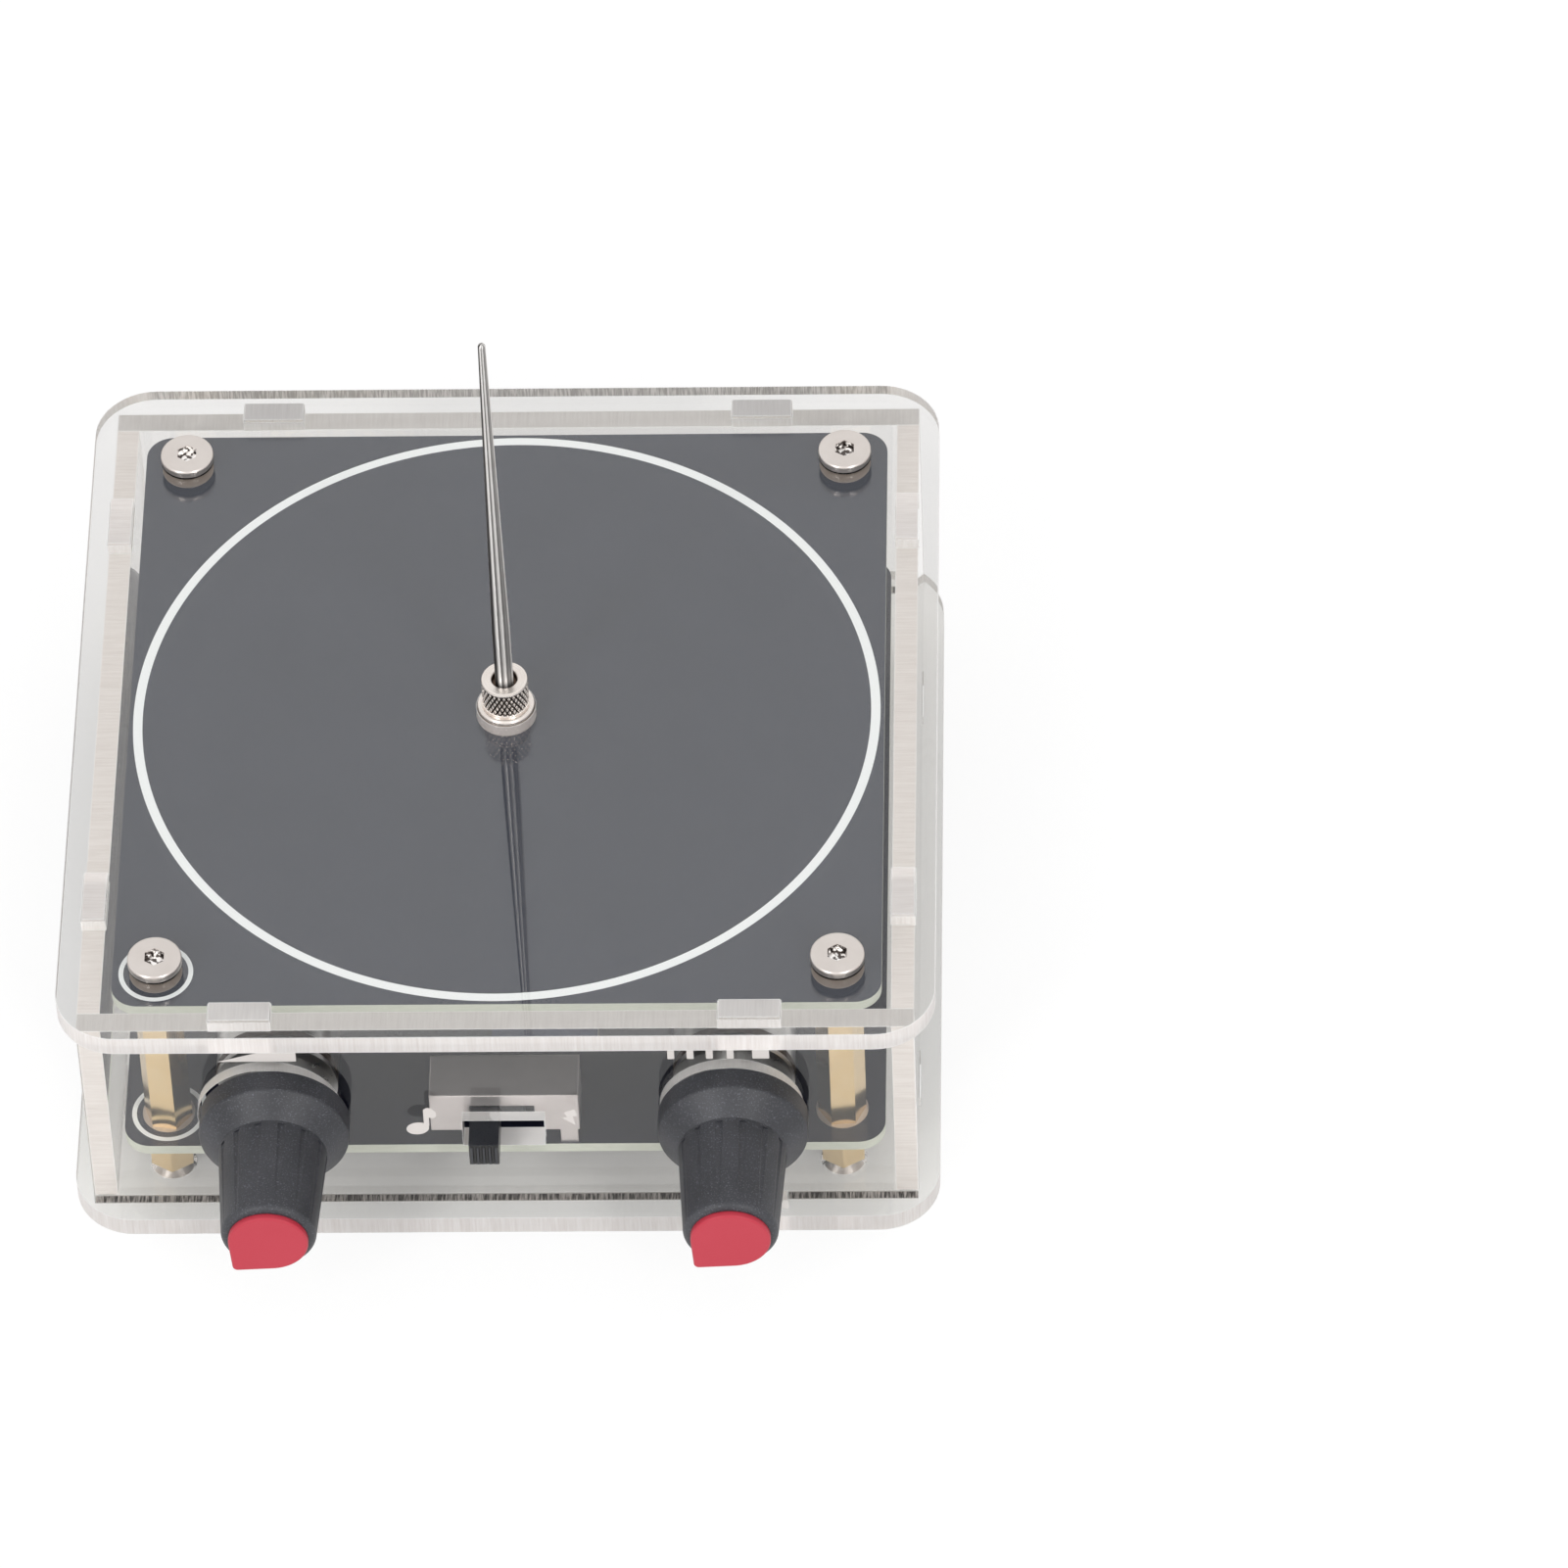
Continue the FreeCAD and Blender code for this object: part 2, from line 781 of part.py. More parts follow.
def knob_cap(x):
    """A round cap with one square corner, which is the pointer."""
    back = knob_back - knob_length
    radius = cap_diameter / 2
    disc = rod(radius, V(x, back, knob_axis), cap_thickness, FRONT)
    corner = block((x, x + radius), (back - cap_thickness, back), (knob_axis - radius, knob_axis))
    cap = joined([disc, corner])
    tips = [e for e in cap.Edges
            if e.BoundBox.XMin > x + radius - cap_edge and e.BoundBox.ZMax < knob_axis - radius + cap_edge]
    cap = cap.makeFillet(cap_corner_round, tips)
    front = [e for e in cap.Edges if e.BoundBox.YMax < back - cap_thickness + cap_edge / 2]
    cap = cap.makeFillet(cap_edge, front)
    cap.rotate(V(x, 0, knob_axis), BACK, 45 + pointer_angle)
    spigot = rod(cap_spigot_diameter / 2, V(x, back, knob_axis), cap_spigot_length, BACK)
    return joined([cap, spigot])


# Slide switch

shell_bottom = driver_top + shell_lift
shell_top = driver_top + switch_height
shell_back = switch_front + switch_depth
lever_rest = -lever_travel / 2
slider_front = switch_front + shell_thickness + slider_gap
base_front = slider_front + slider_thickness + slider_gap
switch_pin_y = (base_front + shell_back) / 2


def switch_shell():
    """Bent sheet: a front with the slot, a roof, two ends, and a leg at two opposite corners."""
    ends = about(shell_offset, switch_width)
    outer = block(ends, (switch_front, shell_back), (shell_bottom, shell_top))
    inner = block(
        (ends[0] + shell_thickness, ends[1] - shell_thickness),
        (switch_front + shell_thickness, shell_back + overrun),
        (shell_bottom - overrun, shell_top - shell_thickness),
    )
    slot = block(
        about(0, slot_width),
        (switch_front - overrun, switch_front + overrun),
        about(lever_middle, slot_height),
    )
    leg_z = (driver_top, shell_bottom + shell_thickness)
    front_leg = block(
        (ends[1] - leg_inset - leg_width, ends[1] - leg_inset),
        (switch_front, switch_front + shell_thickness),
        leg_z,
    )
    back_leg = block(
        (ends[0], ends[0] + shell_thickness),
        (shell_back - leg_inset - leg_width, shell_back - leg_inset),
        leg_z,
    )
    return joined([outer.cut([inner, slot]), front_leg, back_leg])


def switch_base():
    ends = about(shell_offset, switch_width - 2 * shell_thickness)
    return block(ends, (base_front, shell_back), (shell_bottom, shell_top - shell_thickness))


def switch_pin_places():
    return [(k * switch_pin_pitch, switch_pin_y) for k in (-1, 0, 1)]


def switch_pins():
    return group([flat_pin(x, y, shell_bottom) for x, y in switch_pin_places()])


def switch_lever():
    """The ribbed lever and the slider that stays behind the slot."""
    front = -wall_outer - lever_proud
    lever = block(
        about(lever_rest, lever_width), (front, slider_front), about(lever_middle, lever_height)
    )
    slider = block(
        about(lever_rest, slider_width),
        (slider_front, slider_front + slider_thickness),
        about(lever_middle, slider_height),
    )
    edges = [e for e in lever.Edges if e.BoundBox.YMax < front + lever_round]
    lever = lever.makeFillet(lever_round, edges)
    pitch = lever_width / (lever_grooves + 1)
    grooves = []
    outside = groove_diameter / 2 - groove_depth
    for k in range(lever_grooves):
        middle = lever_rest - lever_width / 2 + pitch * (k + 1)
        foot = V(middle, front - outside, lever_middle - lever_height / 2 - overrun)
        grooves.append(rod(groove_diameter / 2, foot, lever_height + 2 * overrun))
    return joined([lever, slider]).cut(grooves)


# Power inlet

def jack_tab_places():
    back = jack_front - jack_length
    depth_share = (0.12, 0.45)
    return [(0, back + share * jack_length) for share in depth_share]


def jack_body():
    flange = block(
        about(0, jack_width),
        (jack_front - jack_flange, jack_front),
        (driver_top, driver_top + jack_height),
    )
    back = jack_front - jack_length
    barrel = rod(jack_barrel_radius, V(0, back, jack_axis), jack_length, BACK)
    foot = block(about(0, jack_width), (back, jack_front), (driver_top, jack_axis))
    start = V(0, jack_front - jack_bore_depth, jack_axis)
    bore = rod(jack_bore_diameter / 2, start, jack_bore_depth + overrun, BACK)
    pin_start = V(0, back - overrun, jack_axis)
    pin_hole = rod(jack_pin_tail_diameter / 2, pin_start, jack_length, BACK)
    return joined([flange, barrel, foot]).cut([bore, pin_hole])


def jack_pin():
    """The centre pin: a round nose, a shoulder on the bore's floor and a thinner tail."""
    back = jack_front - jack_length
    floor = jack_front - jack_bore_depth
    nose = jack_front - jack_pin_shy
    radius = jack_pin_diameter / 2
    tail = rod(jack_pin_tail_diameter / 2, V(0, back, jack_axis), floor - back, BACK)
    shank = rod(radius, V(0, floor, jack_axis), nose - radius - floor, BACK)
    return joined([tail, shank, Part.makeSphere(radius, V(0, nose - radius, jack_axis))])


def jack_tabs():
    tabs = []
    for x, y in jack_tab_places():
        z_span = (driver_bottom - pin_below, driver_top)
        tabs.append(block(about(x, jack_tab_width), about(y, jack_tab_thickness), z_span))
    return group(tabs)


# Heat sink, transistors and the regulator

sink_x = sink_place_share[0] * board_side
sink_front = sink_place_share[1] * board_side
sink_bottom = driver_top + sink_lift
sink_top = coil_bottom - sink_headroom
transistor_x = [sink_x + share * sink_length for share in transistor_share]
package_low = driver_top + package_lift
package_high = package_low + package_height
tab_hole_height = package_high + tab_hole_rise


def heat_sink():
    """A finned extrusion with two feet, the transistors on its plain face."""
    x_span = about(sink_x, sink_length)
    base = block(x_span, (sink_front, sink_front + sink_base), (sink_bottom, sink_top))
    pieces = [base]
    pitch = (sink_length - fin_thickness) / (fin_count - 1)
    for k in range(fin_count):
        left = x_span[0] + k * pitch
        fin_y = (sink_front + sink_base, sink_front + sink_depth)
        pieces.append(block((left, left + fin_thickness), fin_y, (sink_bottom, sink_top)))
    for sign in (-1, 1):
        foot_x = about(sink_x + sign * (sink_length - sink_base) / 2, sink_base)
        foot_y = (sink_front, sink_front + sink_base)
        pieces.append(block(foot_x, foot_y, (driver_top, sink_bottom)))
    holes = []
    for x in transistor_x:
        start = V(x, sink_front - overrun, tab_hole_height)
        holes.append(rod(tapped_radius, start, sink_base + 2 * overrun, BACK))
    return joined(pieces).cut(holes)


def lead_places(x, face):
    y = face - package_thickness / 2
    return [(x + k * lead_pitch, y) for k in (-1, 0, 1)]


def power_package(x, face):
    """Moulded body, metal tab and three legs of one transistor. Its tab lies on face."""
    body = block(
        about(x, package_width),
        (face - package_thickness, face),
        (package_low, package_high),
    )
    tab = block(
        about(x, package_width), (face - tab_thickness, face), (package_high, package_high + tab_height)
    )
    start = V(x, face - tab_thickness - overrun, tab_hole_height)
    hole = rod(tab_hole_diameter / 2, start, tab_thickness + 2 * overrun, BACK)
    legs = []
    for px, py in lead_places(x, face):
        z_span = (driver_bottom - pin_below, package_low)
        legs.append(block(about(px, lead_width), about(py, lead_thickness), z_span))
    return joined([body, tab] + legs).cut(hole)


def sink_screw(x):
    seat = sink_front - tab_thickness
    head = rod(sink_screw_head / 2, V(x, seat, tab_hole_height), sink_screw_head_height, FRONT)
    shank = rod(thread / 2, V(x, seat, tab_hole_height), tab_thickness + sink_screw_bite, BACK)
    drive_depth = sink_screw_head_height / 2
    socket = hexagon(sink_screw_socket, V(0, 0, 0), drive_depth + overrun)
    socket.rotate(V(0, 0, 0), RIGHT, 90)
    socket.translate(V(x, seat - sink_screw_head_height + drive_depth, tab_hole_height))
    return joined([head, shank]).cut(socket)


# Capacitors, wound parts, chips and resistors

def on_board(share):
    """A place on the driver board from its two shares."""
    return share[0] * board_side, share[1] * board_side


def bulk_capacitor(place):
    x, y = place
    radius = bulk_diameter / 2
    height = between_boards - bulk_headroom
    can = rod(radius, V(x, y, driver_top), height)
    top = [e for e in can.Edges if e.BoundBox.ZMin > driver_top + height - bulk_round / 2]
    can = can.makeFillet(bulk_round, top)
    groove_low = driver_top + height - bulk_groove_height
    return can.cut(ring(radius + overrun, radius - bulk_groove, V(x, y, groove_low), bulk_groove))


def film_lead_places(place):
    x, y = place
    return [(x + sign * film_lead_pitch / 2, y) for sign in (-1, 1)]


def film_capacitor(place):
    x, y = place
    box = block(
        about(x, film_length),
        about(y, film_width),
        (driver_top, driver_top + film_height),
    )
    rim = [e for e in box.Edges if e.BoundBox.ZMax > driver_top + film_height / 2]
    box = box.makeFillet(film_round, rim)
    legs = []
    for px, py in film_lead_places(place):
        start = V(px, py, driver_bottom - pin_below)
        legs.append(rod(wire_diameter / 2, start, board_thickness + pin_below))
    return joined([box] + legs)


def ring_core(place, outer, inner, height, wire):
    """A toroid core that lies flat, raised by the wire under it."""
    x, y = place
    return ring(outer / 2, inner / 2, V(x, y, driver_top + wire), height)


def ring_winding(place, outer, inner, height, wire, gap_angle):
    """The winding as a sleeve that wraps the core, open over a gap."""
    x, y = place
    wrap = ring(outer / 2 + wire, inner / 2 - wire, V(x, y, driver_top), height + 2 * wire)
    core = ring_core(place, outer, inner, height, wire)
    reach = outer / 2 + wire + overrun
    wedge_points = [V(x, y, driver_top - overrun)]
    for turn in (-gap_angle / 2, gap_angle / 2):
        far = reach / math.cos(math.radians(gap_angle / 2))
        angle = math.radians(turn)
        wedge_points.append(V(x + far * math.cos(angle), y + far * math.sin(angle),
                              driver_top - overrun))
    wedge_points.append(wedge_points[0])
    wedge = Part.Face(Part.makePolygon(wedge_points)).extrude(UP * (height + 2 * wire + 2 * overrun))
    return wrap.cut([core, wedge])


def chip_leg_places(place):
    x, y = place
    pitch = lead_pitch
    first = -(chip_legs_a_side - 1) / 2
    columns = [x + (first + k) * pitch for k in range(chip_legs_a_side)]
    rows = [y + sign * (chip_width + chip_leg_thickness) / 2 for sign in (-1, 1)]
    return [(px, py) for px in columns for py in rows]


def control_chip(place):
    x, y = place
    low = driver_top + chip_lift
    body = block(about(x, chip_length), about(y, chip_width), (low, low + chip_height))
    notch_place = V(x - chip_length / 2, y, low + chip_height / 2)
    return body.cut(rod(chip_notch, notch_place, chip_height))


def chip_legs(place):
    high = driver_top + chip_lift + chip_height / 2
    legs = []
    for px, py in chip_leg_places(place):
        z_span = (driver_bottom - pin_below, high)
        legs.append(block(about(px, chip_leg_width), about(py, chip_leg_thickness), z_span))
    return legs


def receiver_board():
    x, y = on_board(receiver_place_share)
    low = driver_top
    high = driver_top + receiver_lift + receiver_thickness
    return block(about(x, receiver_width), about(y, receiver_length), (low, high))


def receiver_shield():
    x, y = on_board(receiver_place_share)
    low = driver_top + receiver_lift + receiver_thickness
    back = y + receiver_length / 2 - shield_margin
    shield_y = (back - shield_length, back)
    return block(about(x, shield_width), shield_y, (low, low + shield_height))


def resistor_ends(place):
    x, y = place
    return [(x + sign * (resistor_length / 2 + resistor_lead_reach), y) for sign in (-1, 1)]


def resistor(place):
    """Body with a waist, lying on its bent leads."""
    x, y = place
    axis = driver_top + resistor_lift + resistor_diameter / 2
    bulge = resistor_length / 4
    profile = [
        (0, 0),
        (0, resistor_diameter / 2),
        (bulge, resistor_diameter / 2),
        (bulge, resistor_waist / 2),
        (resistor_length - bulge, resistor_waist / 2),
        (resistor_length - bulge, resistor_diameter / 2),
        (resistor_length, resistor_diameter / 2),
        (resistor_length, 0),
    ]
    body = turned(profile, V(x - resistor_length / 2, y, axis), RIGHT)
    ends = resistor_ends(place)
    wire = wire_diameter / 2
    pieces = [body, rod(wire, V(ends[0][0], y, axis), ends[1][0] - ends[0][0], RIGHT)]
    for px, py in ends:
        low = driver_bottom - pin_below
        pieces.append(rod(wire, V(px, py, low), axis - low))
        pieces.append(Part.makeSphere(wire, V(px, py, axis)))
    return joined(pieces)


regulator_place = on_board(regulator_place_share)
bulk_places = [on_board(share) for share in bulk_place_share]
film_places = [on_board(share) for share in film_place_share]
chip_places = [on_board(share) for share in chip_place_share]
resistor_places = [on_board(share) for share in resistor_place_share]
choke_place = on_board(choke_place_share)
feedback_place = on_board(feedback_place_share)
choke_sizes = (choke_outer_diameter, choke_inner_diameter, choke_height, choke_wire)
feedback_sizes = (feedback_outer_diameter, feedback_inner_diameter, feedback_height, feedback_wire)
knob_places = {
    "power": controls_offset - knob_spacing / 2,
    "frequency": controls_offset + knob_spacing / 2,
}


def board_pins():
    """Each pin that passes the driver board: x, y and the radius that it needs."""
    flat = math.hypot(pin_width, pin_thickness) / 2
    leg = math.hypot(lead_width, lead_thickness) / 2
    small = math.hypot(chip_leg_width, chip_leg_thickness) / 2
    tab = math.hypot(jack_tab_width, jack_tab_thickness) / 2
    pins = []
    for x in knob_places.values():
        pins += [(px, py, flat) for px, py in pot_pin_places(x)]
    pins += [(px, py, flat) for px, py in switch_pin_places()]
    pins += [(px, py, tab) for px, py in jack_tab_places()]
    for x in transistor_x:
        pins += [(px, py, leg) for px, py in lead_places(x, sink_front)]
    pins += [(px, py, leg) for px, py in lead_places(regulator_place[0], regulator_place[1])]
    for place in film_places:
        pins += [(px, py, wire_diameter / 2) for px, py in film_lead_places(place)]
    for place in chip_places:
        pins += [(px, py, small) for px, py in chip_leg_places(place)]
    for place in resistor_places:
        pins += [(px, py, wire_diameter / 2) for px, py in resistor_ends(place)]
    return pins


# Every node of the object

save("bottom_plate", bottom_plate())
save("top_plate", top_plate())
save("front_wall", front_wall())
save("back_wall", back_wall())
save("left_wall", side_wall(-1))
save("right_wall", side_wall(1))

save("driver_board", driver_board())
save("coil_board", coil_board())
save("coil_pads", coil_pads())
save("driver_pads", driver_pads())
save("primary_winding", flat_winding(primary_inner, primary_outer, primary_turns + 1))
save("secondary_winding", flat_winding(secondary_inner_radius, secondary_outer, secondary_turns + 1))

save("top_screws", group([top_screw(x, y) for x, y in corners]))
save("bottom_screws", group([bottom_screw(x, y) for x, y in corners]))
save("short_standoffs", group([short_standoff_piece(x, y) for x, y in corners]))
standoff_turns = (front_left_turn, back_left_turn, front_right_turn, back_right_turn)
turned_corners = zip(corners, standoff_turns)
save("tall_standoffs", group([tall_standoff_piece(x, y, turn) for (x, y), turn in turned_corners]))

save("needle_socket", needle_socket())
save("socket_nut", socket_nut())
save("thumb_nut", thumb_nut())
save("needle", needle())

for name, x in knob_places.items():
    save(name + "_pot_bushing", pot_bushing(x))
    save(name + "_pot_wafer", pot_wafer(x))
    save(name + "_pot_case", pot_case(x))
    save(name + "_pot_pins", pot_pins(x))
    save(name + "_pot_shaft", pot_shaft(x))
    save(name + "_knob", knob(x))
    save(name + "_knob_cap", knob_cap(x))

save("switch_shell", switch_shell())
save("switch_base", switch_base())
save("switch_pins", switch_pins())
save("switch_lever", switch_lever())

save("inlet_body", jack_body())
save("inlet_pin", jack_pin())
save("inlet_tabs", jack_tabs())

save("heat_sink", heat_sink())
save("power_transistors", group([power_package(x, sink_front) for x in transistor_x]))
save("transistor_screws", group([sink_screw(x) for x in transistor_x]))
save("regulator", power_package(regulator_place[0], regulator_place[1]))

save("bulk_capacitors", group([bulk_capacitor(place) for place in bulk_places]))
save("film_capacitors", group([film_capacitor(place) for place in film_places]))
save("choke_core", ring_core(choke_place, *choke_sizes))
save("choke_winding", ring_winding(choke_place, *choke_sizes, choke_gap_angle))
save("feedback_core", ring_core(feedback_place, *feedback_sizes))
save("feedback_winding", ring_winding(feedback_place, *feedback_sizes, feedback_gap_angle))
save("control_chips", group([control_chip(place) for place in chip_places]))
save("chip_legs", group([leg for place in chip_places for leg in chip_legs(place)]))
save("receiver_board", receiver_board())
save("receiver_shield", receiver_shield())
save("resistors", group([resistor(place) for place in resistor_places]))
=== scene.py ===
# %% [markdown]
# # A desktop resonant transformer
# The real object is a clear acrylic box the size of a palm. Two black circuit boards stand in it on brass
# standoffs, a knurled nut on the lid holds a steel discharge needle, and two knobs and a slide switch reach
# out of the front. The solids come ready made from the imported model. They could be modelled again here, but
# then two sets of sizes would have to agree, so this lesson only adds finishes, fine pieces, light and a
# camera.

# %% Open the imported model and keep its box
import math

import bmesh
import bpy
from mathutils import Matrix, Vector


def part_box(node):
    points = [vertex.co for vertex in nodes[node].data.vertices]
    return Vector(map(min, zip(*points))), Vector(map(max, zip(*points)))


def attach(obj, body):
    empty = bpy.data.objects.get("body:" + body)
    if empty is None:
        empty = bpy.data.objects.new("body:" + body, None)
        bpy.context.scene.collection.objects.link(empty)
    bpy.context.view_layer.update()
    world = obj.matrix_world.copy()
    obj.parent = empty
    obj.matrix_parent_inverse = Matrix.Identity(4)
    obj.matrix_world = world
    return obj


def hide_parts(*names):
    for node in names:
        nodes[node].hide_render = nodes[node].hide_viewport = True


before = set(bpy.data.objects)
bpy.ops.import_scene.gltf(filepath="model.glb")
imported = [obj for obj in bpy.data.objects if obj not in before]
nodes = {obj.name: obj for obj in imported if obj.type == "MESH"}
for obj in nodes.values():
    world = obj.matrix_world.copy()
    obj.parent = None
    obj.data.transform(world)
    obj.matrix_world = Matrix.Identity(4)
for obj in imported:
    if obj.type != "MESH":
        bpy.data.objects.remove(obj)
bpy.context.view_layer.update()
MM = 0.001

# %% [markdown]
# ## Helpers
# Colours on a screen are sRGB and a shader reads linear light, so one function turns a hex code into the
# numbers that a shader wants. A node tree could be wired by hand in the editor. Here one small function
# adds a node, sets it and links it, and a few more make the steps that most finishes take, such as a blend,
# a ramp or a cloudy pattern. Each finish below then reads like a list of its layers.

# %% Colours and nodes
def colour(code):
    """A hex code such as #d9b56f as linear red, green, blue and a full alpha."""
    channels = [int(code[i:i + 2], 16) / 255 for i in (1, 3, 5)]
    return [c / 12.92 if c <= 0.04045 else ((c + 0.055) / 1.055) ** 2.4 for c in channels] + [1.0]


def add(tree, kind, inputs=None, **settings):
    """Adds a node. An input given as a socket is linked, and any other value is set."""
    made = tree.nodes.new(kind)
    for name, value in settings.items():
        setattr(made, name, value)
    for name, value in (inputs or {}).items():
        if isinstance(value, bpy.types.NodeSocket):
            tree.links.new(value, made.inputs[name])
        else:
            made.inputs[name].default_value = value
    return made


def blend(tree, factor, low, high):
    """A colour between two colours."""
    made = add(tree, "ShaderNodeMix", {"Factor": factor, "A": low, "B": high}, data_type="RGBA")
    return made.outputs["Result"]


def ramp(tree, value, start, end, highest=1.0):
    """A number that goes from 0 to highest while a value goes from start to end."""
    made = add(tree, "ShaderNodeMapRange", {
        "Value": value, "From Min": start, "From Max": end, "To Max": highest})
    return made.outputs[0]


def between(tree, value, low, high):
    """A number from low to high, by a value from 0 to 1."""
    return add(tree, "ShaderNodeMapRange", {"Value": value, "To Min": low, "To Max": high}).outputs[0]


def noise(tree, space, scale, detail=2.0, roughness=0.5):
    """A cloudy pattern of numbers from 0 to 1."""
    made = add(tree, "ShaderNodeTexNoise", {
        "Vector": space, "Scale": scale, "Detail": detail, "Roughness": roughness})
    return made.outputs["Fac"]


def reckon(tree, operation, *values):
    """A step of arithmetic."""
    return add(tree, "ShaderNodeMath", dict(enumerate(values)), operation=operation).outputs[0]


def measure(tree, operation, *values):
    """A step of vector arithmetic. A length, a distance or a dot product comes out as a number."""
    made = add(tree, "ShaderNodeVectorMath", dict(enumerate(values)), operation=operation)
    return made.outputs["Value" if operation in ("DISTANCE", "DOT_PRODUCT", "LENGTH") else "Vector"]


def relief(tree, height, strength, depth):
    """A bump that follows a pattern, with its depth in mm."""
    made = add(tree, "ShaderNodeBump", {"Strength": strength, "Distance": depth * MM, "Height": height})
    return made.outputs[0]


# %% A first shader, the space for patterns and what dresses a node
def start_finish(name, sockets):
    """A material with one Principled shader whose sockets are set. Returns the material and that shader."""
    material = bpy.data.materials.new(name)
    material.use_nodes = True
    material.node_tree.nodes.clear()
    shader = add(material.node_tree, "ShaderNodeBsdfPrincipled", sockets)
    add(material.node_tree, "ShaderNodeOutputMaterial", {"Surface": shader.outputs["BSDF"]})
    return material, shader


def plug(shader, inputs):
    """Links sockets to inputs of a shader that is there already."""
    for name, socket in inputs.items():
        shader.id_data.links.new(socket, shader.inputs[name])


def pattern_space(tree, stretch=(1, 1, 1)):
    """Object coordinates in millimetres, so that a pattern's scale is one over its real size."""
    where = add(tree, "ShaderNodeTexCoord").outputs["Object"]
    return add(tree, "ShaderNodeMapping", {"Vector": where, "Scale": [s / MM for s in stretch]}).outputs[0]


def soften(material, radius):
    """Shades the corners of a finish as if they had this radius in mm, so that they catch the light."""
    tree = material.node_tree
    bevel = add(tree, "ShaderNodeBevel", {"Radius": radius * MM}, samples=4)
    bump = next(n for n in tree.nodes if n.type == "BUMP")
    tree.links.new(bevel.outputs[0], bump.inputs["Normal"])


dressed = set()


def give(material, *names):
    """Puts a finish in the only material slot of each of these CAD nodes."""
    for name in names:
        nodes[name].data.materials.clear()
        nodes[name].data.materials.append(material)
    dressed.update(names)
    print(material.name, "on", len(names), "nodes")


print("brass hex code as linear light:", [round(c, 3) for c in colour("#d9b56f")])

# %% [markdown]
# ## Clear acrylic
# The box is cast acrylic sheet (PMMA) cut by a laser. Its faces stay polished and show only through what
# they bend and mirror, which is a glass shader with an IOR of 1.49. The cut edges are matt and lined across
# the sheet by the laser's pulses, a few to the millimetre, so they catch light as warm grey bands. The grey
# of the cut edges is painted darker on the front and back walls than on the other sheets, as painted shade.
# Dark specks are painted along the walls' bottom edges and the plates' back edges as a painted shade line.
# The walls of the holes are painted one flat shade: near white round the lever slot as a painted highlight,
# and a darker pinkish grey round the nut as painted shade. Every rim is painted white as a painted highlight
# line. The edge mask comes from the angle between a face and the sheet's own direction, and a rim is where
# a rounded corner would turn away. Lamps would cast a black shadow through real glass shading, so for
# shadow rays and for light that a matt surface has spread, the sheet is plainly see-through.

# %% Acrylic sheet, one finish for each way that a sheet lies
def cut_colour(tree, pulses, stretch, streaks, painted_shade, painted_shade_mask, painted_hole_mask, painted_hole_shade):
    """A cut edge's colour: streaks from the pulses, dark specks of painted shade where they are laid, and a
    hole's walls painted one flat shade.
    """
    streaked = blend(tree, ramp(tree, pulses, 0.25, 0.7), colour(streaks[0]), colour(streaks[1]))
    specks = ramp(tree, noise(tree, pattern_space(tree, stretch), 4.4), 0.4, 0.64)
    painted_shade_colour = blend(tree, specks, colour(painted_shade[0]), colour(painted_shade[1]))
    return blend(tree, painted_hole_mask, blend(tree, painted_shade_mask, streaked, painted_shade_colour), colour(painted_hole_shade))


